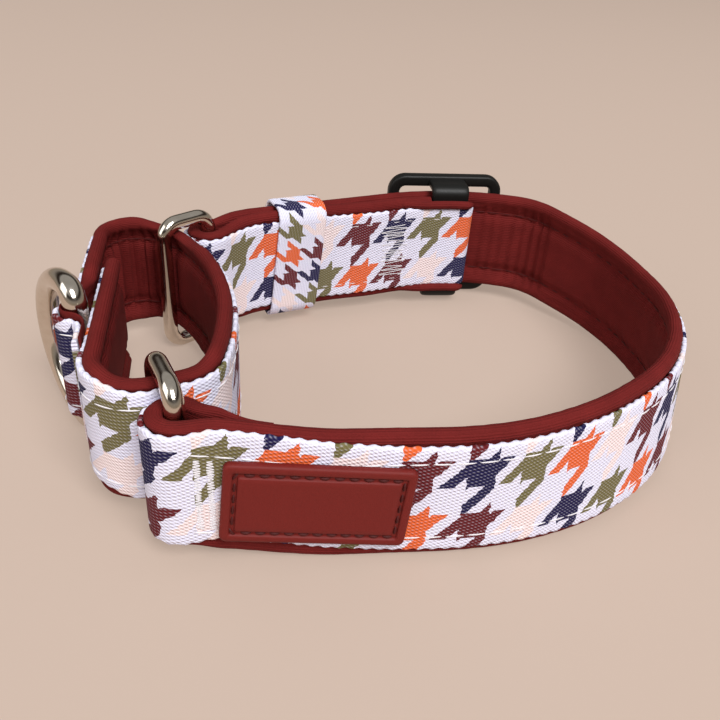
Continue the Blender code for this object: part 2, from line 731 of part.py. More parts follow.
def build_keeper(print_cloth, thread):
    """A band of narrow webbing round the doubled strap, lapped and sewn on the side away from the neck."""
    centre, heading = NECK.at(KEEPER_RUN)
    near = -SKIN - SEAT_GAP
    far = TAIL_MID + WEBBING_THICK / 2 + SEAT_GAP
    tall = LINING_WIDTH + 2 * SEAT_GAP
    radius = KEEPER_CORNER
    quarter = arc(radius, math.pi / 2)
    wide = far - near - 2 * radius
    lap = KEEPER_THICK + SEAT_GAP
    moves = [
        line(tall / 2 - radius + KEEPER_LAP / 2),
        quarter,
        line(wide),
        quarter,
        line(tall - 2 * radius),
        quarter,
        line(wide + lap),
        quarter,
        line(tall / 2 - radius + KEEPER_LAP / 2),
    ]
    path = Path((near, KEEPER_LAP / 2), -math.pi / 2, moves)
    points, headings = path.sample(path.runs())
    half = KEEPER_WIDTH / 2
    middle = LINING_WIDTH / 2
    tape = np.array([(0, -half - middle), (1, -half - middle), (1, half - middle), (0, half - middle)])
    band = sweep("keeper", points, headings, tape, -KEEPER_THICK, 0.0)
    stand = LINING_WIDTH / 2 + SLIDER_LIFT
    along = unit(heading)
    into = left_of(heading)
    place = Matrix(
        (
            (into[0], 0.0, along[0], centre[0]),
            (into[1], 0.0, along[1], centre[1]),
            (0.0, 1.0, 0.0, stand),
            (0.0, 0.0, 0.0, 1.0),
        )
    )
    keeper = finish("keeper", band, print_cloth)
    keeper.matrix_world = place
    outside = near - lap - KEEPER_THICK - SEAT_GAP - THREAD / 2
    rows = zigzag(0.0, KEEPER_LAP / 2, KEEPER_SEAM_LENGTH, BARTACK_STITCHES)
    seam = thread_run("keeper_seam", [(outside, up, run) for up, run in rows], thread)
    seam.matrix_world = place


def build_label(rubber, thread):
    """The label patch, moulded with a groove for its stitching, and the stitching in the groove."""
    run = LABEL_FROM_RING
    centre, heading = NECK.at(run)
    slope = math.atan2(neck_lift(run + LABEL_LENGTH / 4) - neck_lift(run - LABEL_LENGTH / 4), LABEL_LENGTH / 2)
    base = SKIN + SEAT_GAP
    top = base + LABEL_THICK
    floor = top - GROOVE_DEPTH
    side = GROOVE_WIDTH / 2
    levels = [
        (0.0, base),
        (0.0, top - LABEL_EDGE),
        (LABEL_EDGE, top),
        (STITCH_INSET - side, top),
        (STITCH_INSET - side, floor),
        (STITCH_INSET + side, floor),
        (STITCH_INSET + side, top),
    ]
    rings = []
    for inset, out in levels:
        rows = round_corners(LABEL_LENGTH / 2, LABEL_HEIGHT / 2, LABEL_CORNER, 4, inset)
        rings.append(np.column_stack([rows[:, 0], np.full(len(rows), -out), rows[:, 1]]))
    stand = LINING_WIDTH / 2 + LABEL_RISE + float(neck_lift(run))
    tilt = Matrix.Rotation(-slope, 4, "Y")
    place = Matrix.Translation((*centre, stand)) @ Matrix.Rotation(heading, 4, "Z") @ tilt
    label = finish("label_patch", loft("label_patch", rings), rubber, smooth_angle=30)
    label.matrix_world = place
    rows = round_corners(LABEL_LENGTH / 2, LABEL_HEIGHT / 2, LABEL_CORNER, 4, STITCH_INSET)
    level = -(floor + SEAT_GAP + THREAD / 2)
    stitching = thread_run("label_stitching", [(x, level, z) for x, z in rows], thread, cyclic=True)
    stitching.matrix_world = place


def build_strap_bartacks(thread):
    """The stitching that closes the front fold, and that of the tail's turned-back end."""
    outside = -(SKIN + SEAT_GAP + THREAD / 2)
    for name, run in zip(("front_bartack_1", "front_bartack_2"), FRONT_BARTACKS):
        rows = zigzag(run, BARTACK_WIDTH, BARTACK_HEIGHT, BARTACK_STITCHES)
        thread_run(name, [neck_point(place, outside, up) for place, up in rows], thread)
    middle = RETURN_END - TAIL_BARTACK_WIDTH / 2
    rows = zigzag(0.0, BARTACK_HEIGHT, TAIL_BARTACK_WIDTH, BARTACK_STITCHES // 2)
    places = []
    for up, along in rows:
        run = middle + along
        surface = tail_side(run) + WEBBING_THICK / 2
        places.append(neck_point(run, surface + SEAT_GAP + THREAD / 2, up))
    thread_run("tail_bartack", places, thread)


def main():
    for old in list(bpy.data.objects):
        bpy.data.objects.remove(old, do_unlink=True)
    print_cloth = finish_of("printed_webbing", (0.75, 0.73, 0.76), 0.85)
    padding = finish_of("lining_cloth", (0.11, 0.012, 0.012), 0.8)
    steel = finish_of("polished_steel", (0.62, 0.60, 0.56), 0.16, 1.0)
    plastic = finish_of("moulded_acetal", (0.012, 0.012, 0.014), 0.42)
    rubber = finish_of("label_rubber", (0.12, 0.014, 0.014), 0.55)
    white_thread = finish_of("polyester_thread", (0.72, 0.70, 0.68), 0.6)
    dark_thread = finish_of("label_thread", (0.05, 0.006, 0.006), 0.6)
    build_main_strap(print_cloth, padding)
    build_tail(print_cloth, padding)
    build_rings(steel)
    build_control_loop(print_cloth, padding, white_thread)
    bar = build_d_ring(steel)
    arc_centre = build_slider(plastic)
    build_keeper(print_cloth, white_thread)
    build_label(rubber, dark_thread)
    build_strap_bartacks(white_thread)
    print("front ring, rear ring, D-ring bar:", FRONT_RING, REAR_RING, bar)
    print("control loop turns about:", LOOP_PIVOT)
    print("slider turns about:", arc_centre, "keeper slides along:", unit(TAIL_HEADING))


main()
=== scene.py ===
# %% [markdown]
# # Dressing a padded martingale collar
#
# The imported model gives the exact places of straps, rings, D-ring, slider and keeper. This lesson puts
# the cloth, thread, steel and plastic on it. The straps are the main thing to get right, so most cells
# are about one idea: a strap is a flat profile carried along a path that lies on the table.

# %% Frame
import functools
import math

import bpy
import numpy as np
from mathutils import Matrix


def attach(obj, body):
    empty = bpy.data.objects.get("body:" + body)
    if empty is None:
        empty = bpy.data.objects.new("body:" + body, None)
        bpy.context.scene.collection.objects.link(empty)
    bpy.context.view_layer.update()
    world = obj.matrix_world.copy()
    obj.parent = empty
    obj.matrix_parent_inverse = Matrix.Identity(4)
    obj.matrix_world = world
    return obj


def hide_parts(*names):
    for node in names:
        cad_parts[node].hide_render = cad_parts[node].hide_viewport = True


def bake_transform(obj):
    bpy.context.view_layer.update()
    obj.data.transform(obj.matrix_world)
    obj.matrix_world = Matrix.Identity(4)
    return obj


MM = 0.001
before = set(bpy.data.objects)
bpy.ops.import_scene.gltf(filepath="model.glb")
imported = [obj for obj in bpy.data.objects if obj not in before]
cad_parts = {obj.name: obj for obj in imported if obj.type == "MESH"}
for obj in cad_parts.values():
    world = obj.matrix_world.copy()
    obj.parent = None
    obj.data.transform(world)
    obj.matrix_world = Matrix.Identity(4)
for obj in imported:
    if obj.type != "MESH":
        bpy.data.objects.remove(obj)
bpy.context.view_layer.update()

# %% [markdown]
# ## Camera
#
# The camera stands close in front of the collar and looks down on it, a little rolled. Its place could
# be found by eye, but it was fitted to the edges of the 25 mm tape, so that a size in the picture is a
# size on the table.

# %% Camera
EYE = np.array([-1.81, -164.2, 111.3]) * MM
PITCH = math.radians(32.05)
ROLL = math.radians(4.01)
FOCAL_PIXELS = 760
IMAGE_PIXELS = 720
SENSOR = 36.0

UPWARD = np.array([0.0, 0.0, 1.0])
look = np.array([0.0, math.cos(PITCH), -math.sin(PITCH)])
level_up = np.array([0.0, math.sin(PITCH), math.cos(PITCH)])
level_right = np.array([1.0, 0.0, 0.0])
right = math.cos(ROLL) * level_right + math.sin(ROLL) * level_up
up = math.cos(ROLL) * level_up - math.sin(ROLL) * level_right
lens = bpy.data.cameras.new("camera")
lens.sensor_width = SENSOR
lens.lens = FOCAL_PIXELS / IMAGE_PIXELS * SENSOR
lens.clip_start = 0.01
camera = bpy.data.objects.new("camera", lens)
pose = np.eye(4)
pose[:3] = np.column_stack([right, up, -look, EYE])
camera.matrix_world = Matrix(pose.tolist())
bpy.context.scene.collection.objects.link(camera)
bpy.context.scene.camera = camera
bpy.context.scene.view_settings.view_transform = "Standard"
print("lens, mm:", round(lens.lens, 2))

# %% [markdown]
# ## Colours and nodes
#
# Colours are written as they look on a screen, in sRGB hex, while Blender adds light in linear values,
# so one function converts them. Nodes could be set up by hand in the editor. Here one small function adds
# a node with its settings and links, so that a finish reads from top to bottom like a recipe.


# %% Colours and nodes
def linear(hex_colour):
    """An sRGB hex colour as linear RGBA: each channel c becomes c/12.92 when dark, or a 2.4 power."""
    channels = np.array([int(hex_colour[k : k + 2], 16) for k in (1, 3, 5)]) / 255
    curve = np.where(channels <= 0.04045, channels / 12.92, ((channels + 0.055) / 1.055) ** 2.4)
    return (*curve.tolist(), 1.0)


def fill(tree, node, sockets):
    """Fill a node's sockets, given in order, or by place or name in a dict.

    A socket takes a number, a colour, another node's output, or a node, which stands for its first output.
    """
    in_order = sockets if isinstance(sockets, dict) else dict(enumerate(sockets))
    for place, value in in_order.items():
        if isinstance(value, bpy.types.Node):
            value = value.outputs[0]
        if isinstance(value, bpy.types.NodeSocket):
            tree.links.new(value, node.inputs[place])
        else:
            node.inputs[place].default_value = value


def add(tree, kind, sockets=(), **settings):
    """Add a node with its own settings and with its sockets filled."""
    node = tree.nodes.new("ShaderNode" + kind)
    for key, value in settings.items():
        setattr(node, key, value)
    fill(tree, node, sockets)
    return node


def new_material(name):
    """A material with its node tree and its shader, ready for more nodes."""
    material = bpy.data.materials.new(name)
    material.use_nodes = True
    return material, material.node_tree, material.node_tree.nodes["Principled BSDF"]


print("middle grey #808080 is linear", round(linear("#808080")[0], 3))

# %% [markdown]
# ## Lamps and studio
#
# In a product studio one large soft lamp does most of the work, a weaker one fills the shadow side, and
# walls and ceiling give polished metal something to mirror. A picture of a room could be wrapped round the
# scene. A few plain bands of colour by height do the same for small rings and need no file.


# %% Lamps and studio
def lamp(name, place, size, watts):
    """A square soft lamp that looks at the middle of the table; its axes are its side, top and back."""
    data = bpy.data.lights.new(name, "AREA")
    data.size = size
    data.energy = watts
    item = bpy.data.objects.new(name, data)
    back = np.array(place) / np.linalg.norm(place)
    side = np.cross(UPWARD, back)
    side /= np.linalg.norm(side)
    turn = np.eye(4)
    turn[:3] = np.column_stack([side, np.cross(back, side), back, place])
    item.matrix_world = Matrix(turn.tolist())
    bpy.context.scene.collection.objects.link(item)
    print(name, "lamp:", watts, "W,", size, "m wide")


lamp("key", (0.9, -1.6, 2.1), 1.3, 86.0)
lamp("fill", (-1.7, -1.0, 1.3), 1.6, 17.0)
# From the floor line up: a warm pale wall, a dark edge above it and a white ceiling.
STUDIO = (
    (0.0, "#f0dcc4"),
    (0.24, "#e6dcd2"),
    (0.38, "#453b35"),
    (0.52, "#544a44"),
    (0.62, "#fffefc"),
)
STUDIO_LIGHT = 0.38
world = bpy.data.worlds.new("studio")
bpy.context.scene.world = world
world.use_nodes = True
room = world.node_tree
height_up = add(room, "SeparateXYZ", [add(room, "TexCoord").outputs["Generated"]])
bands = add(room, "ValToRGB", [height_up.outputs[2]])
for k, (place, colour) in enumerate(STUDIO):
    stop = bands.color_ramp.elements[k] if k < 2 else bands.color_ramp.elements.new(place)
    stop.position = place
    stop.color = linear(colour)
fill(room, room.nodes["Background"], {"Color": bands, "Strength": STUDIO_LIGHT})

# %% [markdown]
# ## Floor
#
# The collar lies on a sweep of matt paper. A plain sheet is enough for that; a curved sweep would only
# show in its reflections. Lamps alone leave paper darker at the back, so half of what the camera and
# mirrors see of it is its own plain colour, and the other half still takes the shadow.

# %% Floor
PAPER = "#bda99c"
PAPER_SEEN = "#d6bfaf"
PLAIN_SHARE = 0.5
FLOOR_REACH = 30.0
floor_corners = FLOOR_REACH * np.array([(-1, -1, 0), (1, -1, 0), (1, 1, 0), (-1, 1, 0)])
floor_mesh = bpy.data.meshes.new("floor")
floor_mesh.from_pydata(floor_corners.tolist(), [], [(0, 1, 2, 3)])
floor = bpy.data.objects.new("floor", floor_mesh)
bpy.context.scene.collection.objects.link(floor)
# Uncoated paper scatters light evenly and has no gloss.
paper, paper_tree, paper_shader = new_material("paper_backdrop")
fill(paper_tree, paper_shader, {"Base Color": linear(PAPER), "Roughness": 0.95})
rays = add(paper_tree, "LightPath").outputs
mirror_rays = [rays["Is Glossy Ray"], rays["Is Transmission Ray"]]
mirrored = add(paper_tree, "Math", mirror_rays, operation="MAXIMUM")
seen = add(paper_tree, "Math", [rays["Is Camera Ray"], mirrored], operation="MAXIMUM")
share = add(paper_tree, "Math", [seen, PLAIN_SHARE], operation="MULTIPLY")
plain = add(paper_tree, "Emission", {"Color": linear(PAPER_SEEN)})
even = add(paper_tree, "MixShader", [share, paper_shader, plain])
fill(paper_tree, paper_tree.nodes["Material Output"], {"Surface": even})
floor_mesh.materials.append(paper)
print("floor, m:", 2 * FLOOR_REACH)

# %% [markdown]
# ## The paths of the straps
#
# Each strap is walked like a turtle walks: straight moves and round moves, each a length and a turn.
# Splines through measured points would also work, but a walk keeps the radii that the rings and the
# slider need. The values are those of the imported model, apart from the pad in the D-ring's tunnel, which
# is pressed thinner here.


# %% Walking a path
def unit(heading):
    """Plan direction of a heading."""
    return np.stack([np.cos(heading), np.sin(heading)], -1)


def left_of(heading):
    """Plan direction square to a heading, on its left."""
    return unit(np.asarray(heading) + math.pi / 2)


def arc(radius, turn):
    """A round move, as (length, turn)."""
    return (radius * abs(turn), turn)


def trace(start, heading, moves, step=0.4 * MM):
    """Walk the moves, as rows of (run, x, y, heading).

    On a bend of radius length/turn the point is start + radius * (left before - left now).
    """
    rows = []
    run = 0.0
    point = np.array(start, float)
    for length, turn in moves:
        share = np.linspace(0, 1, max(2, math.ceil(length / step)) + 1)[:, None]
        ahead = heading + turn * share[:, 0]
        if turn:
            xy = point + length / turn * (left_of(heading) - left_of(ahead))
        else:
            xy = point + share * length * unit(heading)
        rows.append(np.column_stack([run + share[:-1, 0] * length, xy[:-1], ahead[:-1]]))
        run, point, heading = run + length, xy[-1], heading + turn
    rows.append(np.array([[run, *point, heading]]))
    return np.concatenate(rows)


def smooth(share):
    """Ease from 0 to 1 with level ends: 3 s^2 - 2 s^3."""
    share = np.clip(share, 0.0, 1.0)
    return share * share * (3 - 2 * share)


def strap_tables(walk, middle, lean):
    """A strap as tables along its run: place and heading from a walk, its middle's height and its lean."""
    run, x, y, heading = walk.T
    return {"run": run, "x": x, "y": y, "heading": heading, "middle": middle, "lean": lean}


def strap_point(strap, run, side, height):
    """The path's point at that run, moved left by side + lean * height, at the strap's middle + height."""
    x, y, heading, middle, lean = (
        np.interp(run, strap["run"], strap[key]) for key in ("x", "y", "heading", "middle", "lean")
    )
    away = side + lean * height
    return np.stack(
        np.broadcast_arrays(x - np.sin(heading) * away, y + np.cos(heading) * away, middle + height), -1
    )


quarter = trace((0, 0), 0.0, [arc(10 * MM, math.pi / 2)])
print("a quarter turn of 10 mm radius ends at, mm:", (quarter[-1, 1:3] / MM).round(3))

# %% [markdown]
# ## Layers and hardware sizes
#
# A strap is printed tape sewn on a wider pad, and it must slip through wire rings and a slider. The sizes
# could be typed in one by one, but most follow from a few of them: wire, thickness and a small gap
# between layers. So they are written as sums, and a change of one carries through to the rest.

# %% Layers and hardware sizes
TAPE_WIDTH = 25 * MM
TAPE_THICK = 1.2 * MM
PAD_WIDTH = 30 * MM
PAD_THICK = 2.8 * MM
GAP = 0.3 * MM
# Room above and below a strap in its hardware.
ROOM = 0.7 * MM
SKIN = GAP + TAPE_THICK
STACK = SKIN + PAD_THICK
TAPE_EDGE = TAPE_WIDTH / 2 + GAP / 2
PRESSED_HALF = 13.7 * MM
RING_WIRE = 3.8 * MM
RING_CORNER = 4.0 * MM
D_WIRE = 5.2 * MM
FOLD = RING_WIRE / 2 + GAP + PAD_THICK
LOOP_FROM_RING = FOLD + SKIN + GAP + SKIN
RING_SPACING = LOOP_FROM_RING + PAD_THICK + GAP + 0.4 * MM + RING_WIRE / 2
D_HALF = PRESSED_HALF + 0.5 * MM + D_WIRE / 2
LOOP_MIDDLE = D_HALF + D_WIRE / 2
RING_HALF = (LOOP_MIDDLE + PRESSED_HALF + ROOM) / 2
RING_MIDDLE = RING_WIRE + ROOM + PRESSED_HALF
SLOT_HALF = PAD_WIDTH / 2 + ROOM
SLIDER_RAIL = 3.4 * MM
SLIDER_MIDDLE = SLOT_HALF + SLIDER_RAIL + 0.2 * MM
print("tape and pad together, mm:", round(STACK / MM, 2))

# %% [markdown]
# ## Path of the neck strap
#
# The real strap starts folded round the front ring, goes round the neck and ends folded round the rear
# ring. Its bends were read from the picture; the lengths of the last two straights then follow from the
# place of the rear ring, by solving two equations, so that the strap meets the ring without a kink.

# %% Path of the neck strap
FRONT_RING = np.array([-33.31, -58.2]) * MM
FRONT_RING_TURN = math.radians(119)
REAR_RING_TURN = math.radians(228)
LOOP_FRONT_RADIUS = 58 * MM
LOOP_REAR_RADIUS = 23.3 * MM
FRONT = math.radians(8)
TAIL = math.radians(207.5)
APEX = math.radians(133)
BACK_RADIUS = 60 * MM
BACK = math.radians(168)
PIVOT = FRONT_RING + unit(FRONT_RING_TURN) * (LOOP_FRONT_RADIUS + LOOP_FROM_RING)
REAR_RING = PIVOT - unit(REAR_RING_TURN) * (LOOP_REAR_RADIUS + LOOP_FROM_RING)


def neck_moves(side_line, back_line):
    """Round the neck from the front ring to the rear ring."""
    return [
        (48 * MM, 0.0),
        arc(75.5 * MM, math.radians(39)),
        arc(58 * MM, math.radians(53)),
        arc(56 * MM, math.radians(33)),
        (side_line, 0.0),
        arc(20 * MM, BACK - APEX),
        arc(BACK_RADIUS, TAIL - BACK),
        (back_line, 0.0),
    ]


neck_start = FRONT_RING - left_of(FRONT) * FOLD
TINY = 1e-9
bare_end = trace(neck_start, FRONT, neck_moves(TINY, TINY))[-1, 1:3]
missing = REAR_RING - left_of(TAIL) * FOLD - bare_end
side_line, back_line = np.linalg.solve(np.column_stack([unit(APEX), unit(TAIL)]), missing)
NECK_MOVES = neck_moves(side_line, back_line)
NECK_KNOTS = np.concatenate([[0.0], np.cumsum([length for length, _ in NECK_MOVES])])
NECK_LENGTH = NECK_KNOTS[-1]
SLIDER_RUN = NECK_KNOTS[6] + BACK_RADIUS * (math.radians(189) - BACK)
KEEPER_WIDTH = 13.8 * MM
KEEPER_RUN = NECK_LENGTH - 24.5 * MM
print("neck strap between the rings, mm:", round(NECK_LENGTH / MM, 1))

# %% [markdown]
# ## Height and lean of the neck strap
#
# The strap stands on its edge. Wire and slider lift it off the table at both ends, and on the round right
# side its top leans inwards. Both are eased functions of the run, because a bent strap has no steps.


# %% Height and lean of the neck strap
FRONT_DROP = 30 * MM
NECK_LEAN = 0.11


def neck_middle(run):
    """Height of the strap's middle: up on rings and slider, down on the table at the front right."""
    front = 1 - smooth(run / FRONT_DROP)
    rise = smooth((run - NECK_KNOTS[3]) / (NECK_KNOTS[6] - NECK_KNOTS[3]))
    settle_run = KEEPER_RUN + KEEPER_WIDTH / 2 + 4 * MM
    settle = smooth((run - settle_run) / (NECK_LENGTH - settle_run))
    base = PAD_WIDTH / 2
    on_ring = (RING_MIDDLE - base) * front
    on_slider = (SLIDER_MIDDLE - base) * rise
    return base + on_ring + on_slider + (RING_MIDDLE - SLIDER_MIDDLE) * settle


def neck_lean(run):
    """The top leans in on the round right side: one ease in, one ease out."""
    lean_in = smooth((run - NECK_KNOTS[1]) / (NECK_KNOTS[2] - NECK_KNOTS[1]))
    lean_out = smooth((run - NECK_KNOTS[3]) / (NECK_KNOTS[6] - NECK_KNOTS[3]))
    return NECK_LEAN * (lean_in - lean_out)


print("middle of the strap at the front ring, mm:", round(float(neck_middle(0.0)) / MM, 1))

# %% [markdown]
# ## Folds at the rings
#
# At each ring the strap turns back on itself in a hairpin, and its doubled end eases down on the strap.
# The ends could be strips of their own, but the real strap is one piece of cloth, so lead, neck and return
# are walked in one go.

# %% Folds at the rings
EASE_RADIUS = 18 * MM
fold_turn = math.acos(1 - (2 * FOLD - 2 * PAD_THICK - GAP) / (FOLD + EASE_RADIUS))
EASE = arc(EASE_RADIUS, -fold_turn)
HAIRPIN = arc(FOLD, math.pi + fold_turn)
LEAD = [(4 * MM, 0.0), EASE, HAIRPIN]
lead_length = sum(length for length, _ in LEAD)
tail_line = NECK_LENGTH - KEEPER_RUN - (FOLD + EASE_RADIUS) * math.sin(fold_turn)
lead_end = trace((0, 0), FRONT + math.pi, LEAD)[-1, 1:3]
walk = trace(neck_start - lead_end, FRONT + math.pi, [*LEAD, *NECK_MOVES, HAIRPIN, EASE, (tail_line, 0.0)])
ahead = walk[:, 0] - lead_length
# A doubled part has the height and lean of the part that it lies on.
doubled = np.maximum(-ahead - HAIRPIN[0], 0) - np.maximum(ahead - NECK_LENGTH - HAIRPIN[0], 0)
on_neck = np.clip(ahead, 0, NECK_LENGTH) + doubled
MAIN = strap_tables(walk, neck_middle(on_neck), neck_lean(on_neck))
print("whole neck strap, mm:", round(walk[-1, 0] / MM, 1))

# %% [markdown]
# ## Path of the tail
#
# Past the rear ring the strap runs back on itself to the slider, goes round the slider's centre bar and is
# sewn down. It could be walked like the neck strap, but it lies on a strap that is already bent. So its
# points are taken from that strap, moved inwards by the layers between them.

# %% Path of the tail
RETURN_MID = PAD_THICK + GAP + TAPE_THICK / 2
BAR_HALF = 5.5 * MM
BAR_THICK = 2.4 * MM
BAR_OUT = BACK_RADIUS - math.sqrt((BACK_RADIUS - RETURN_MID - TAPE_THICK / 2) ** 2 - BAR_HALF**2) + GAP
BAR_IN = BAR_OUT + BAR_THICK
TAIL_AT_BAR = BAR_IN + GAP + TAPE_THICK / 2
TAIL_MID = 2 * PAD_THICK + 2 * GAP + TAPE_THICK / 2
NECK = {key: value[(ahead >= 0) & (ahead <= NECK_LENGTH)] for key, value in MAIN.items()}
NECK["run"] = NECK["run"] - lead_length
TAIL_STEP = 0.5 * MM


def beside_bar(along):
    """Run whose innermost layer lies that far along the strap from the slider's middle."""
    return SLIDER_RUN + BACK_RADIUS * math.asin(along / (BACK_RADIUS - TAIL_AT_BAR))


RETURN_END = beside_bar(BAR_HALF) + 18 * MM
TURN_RUN = beside_bar(BAR_THICK / 2 - BAR_HALF)
tail_runs = np.arange(KEEPER_RUN - GAP, TURN_RUN, -TAIL_STEP)
back_runs = np.arange(TURN_RUN, RETURN_END, TAIL_STEP)


def tail_side(run):
    """The tail's tape rises a little to clear the slider's bar."""
    begin = KEEPER_RUN - KEEPER_WIDTH / 2
    return TAIL_MID + (TAIL_AT_BAR - TAIL_MID) * smooth((begin - run) / (begin - RETURN_END))


def strap_along(points):
    """A strap along given points: runs are summed lengths, headings come from the differences."""
    pace = np.linalg.norm(np.diff(points[:, :2], axis=0), axis=1)
    slope = np.gradient(points[:, :2], axis=0)
    run = np.concatenate([[0.0], np.cumsum(pace)])
    heading = np.unwrap(np.arctan2(slope[:, 1], slope[:, 0]))
    walk = np.column_stack([run, points[:, :2], heading])
    return strap_tables(walk, points[:, 2], np.zeros(len(points)))


wrap = (TAIL_AT_BAR - RETURN_MID) / 2
turn_angles = np.linspace(0, math.pi, 22)[1:-1]
turn_heading = np.interp(TURN_RUN, NECK["run"], NECK["heading"])
turn_centre = strap_point(NECK, TURN_RUN, (TAIL_AT_BAR + RETURN_MID) / 2, 0.0)
turn_points = turn_centre[:2] + left_of(turn_heading + turn_angles) * wrap
around_bar = np.column_stack([turn_points, np.full(len(turn_angles), turn_centre[2])])
on_the_way = strap_point(NECK, tail_runs, tail_side(tail_runs), 0.0)
on_the_return = strap_point(NECK, back_runs, RETURN_MID, 0.0)
TAIL_STRAP = strap_along(np.concatenate([on_the_way, around_bar, on_the_return]))
TAIL_PAD_END = np.interp(-beside_bar(BAR_HALF + GAP), -tail_runs, TAIL_STRAP["run"][: len(tail_runs)])
print("tail with its return, mm:", round(TAIL_STRAP["run"][-1] / MM, 1))

# %% [markdown]
# ## Path of the control loop
#
# The control loop is the part that draws the collar closed. It runs through both rings, and its two ends
# are lapped and sewn so that they form a tunnel for the D-ring's bar. It has to touch both rings and close
# on itself, so two of its radii and one straight are solved for, and the rest is read from the picture.

# %% Path of the control loop
LEFT = math.radians(282)
LOOP_CORNER = 10 * MM
LOOP_HEADINGS = [math.radians(v) for v in (27, 34, 88, 130, 160)]
front_from, front_to, loop_side, rear_from, rear_to = LOOP_HEADINGS
down = unit(LEFT)
out = -left_of(LEFT)
corner_turn = left_of(LEFT) - left_of(front_from)
front_corner = -LOOP_FRONT_RADIUS * left_of(front_from) - LOOP_CORNER * corner_turn
loop_left = front_corner @ out
BAR_FROM_CORNER = 21 * MM
LAP_BEHIND = 20.5 * MM
LAP_SHIFT = STACK + GAP
bar_down = front_corner @ down - BAR_FROM_CORNER
D_BAR_OUT = SKIN + GAP + D_WIRE / 2
TUNNEL_PAD = 0.4 * MM
TUNNEL = D_WIRE / 2 + GAP + TUNNEL_PAD
CREASE = 4 * MM
sides = np.column_stack([left_of(front_to) - left_of(loop_side), left_of(loop_side) - left_of(rear_from)])
ends = LOOP_FRONT_RADIUS * left_of(front_to) - LOOP_REAR_RADIUS * left_of(rear_from)
tight, bow = np.linalg.solve(sides, ends)
rear_end = -LOOP_REAR_RADIUS * left_of(rear_to)
turn_in = left_of(rear_to) - left_of(LEFT)
rear_corner = (loop_left + LAP_SHIFT - rear_end @ out) / (turn_in @ out)
rear_down = (rear_end + rear_corner * turn_in) @ down
bend = math.acos(1 - (D_BAR_OUT + TUNNEL - LAP_SHIFT) / (TUNNEL + CREASE))
reach = (TUNNEL + CREASE) * math.sin(bend)
# Past the bar the flap is pressed flat on the first layer, so it settles lower than it came.
settle = math.acos(1 - (D_BAR_OUT + TUNNEL - SKIN - TUNNEL_PAD - GAP) / (TUNNEL + CREASE))
LOOP_MOVES = [
    (LAP_BEHIND + BAR_FROM_CORNER, 0.0),
    arc(LOOP_CORNER, front_from + 2 * math.pi - LEFT),
    arc(LOOP_FRONT_RADIUS, front_to - front_from),
    arc(tight, loop_side - front_to),
    arc(bow, rear_from - loop_side),
    arc(LOOP_REAR_RADIUS, rear_to - rear_from),
    arc(rear_corner, LEFT - rear_to),
    (bar_down - reach - rear_down, 0.0),
    arc(CREASE, -bend),
    arc(TUNNEL, bend + settle),
    arc(CREASE, -settle),
    (6 * MM, 0.0),
]
LOOP_KNOTS = np.concatenate([[0.0], np.cumsum([length for length, _ in LOOP_MOVES])])
loop_start = PIVOT + out * loop_left + down * (bar_down - LAP_BEHIND)
loop_walk = trace(loop_start, LEFT - 2 * math.pi, LOOP_MOVES)
LOOP = strap_tables(loop_walk, np.full(len(loop_walk), LOOP_MIDDLE), np.zeros(len(loop_walk)))
D_BAR = PIVOT + out * (loop_left + D_BAR_OUT) + down * bar_down
print("control loop, mm:", round(LOOP_KNOTS[-1] / MM, 1), "D-ring bar at", np.round(D_BAR / MM, 1))

# %% [markdown]
# ## Houndstooth print
#
# The print is the old houndstooth check: solid blocks of half a pitch, and diagonal stripes in the
# blocks between them. It could be a picture, but a picture has a fixed number of pixels. Worked out from
# the UV map in node sums, it stays sharp, follows the strap and can be scaled. Each tooth takes the colour
# of the block that it grows from.


# %% Houndstooth print
PRINT_PITCH = 11.2 * MM
PRINT_RISE = 13.0 * MM
PRINT_LIFT = 1.25
MAROON, NAVY, OLIVE, ORANGE, PEACH = ("#651b1e", "#1d1845", "#746c44", "#e6672f", "#f6e4e2")
TOP_ROW = (NAVY, MAROON, PEACH, ORANGE, OLIVE)
LOW_ROW = (MAROON, ORANGE, OLIVE, NAVY, PEACH)
NOTCH = 0.5
FUZZ = 0.9 * MM


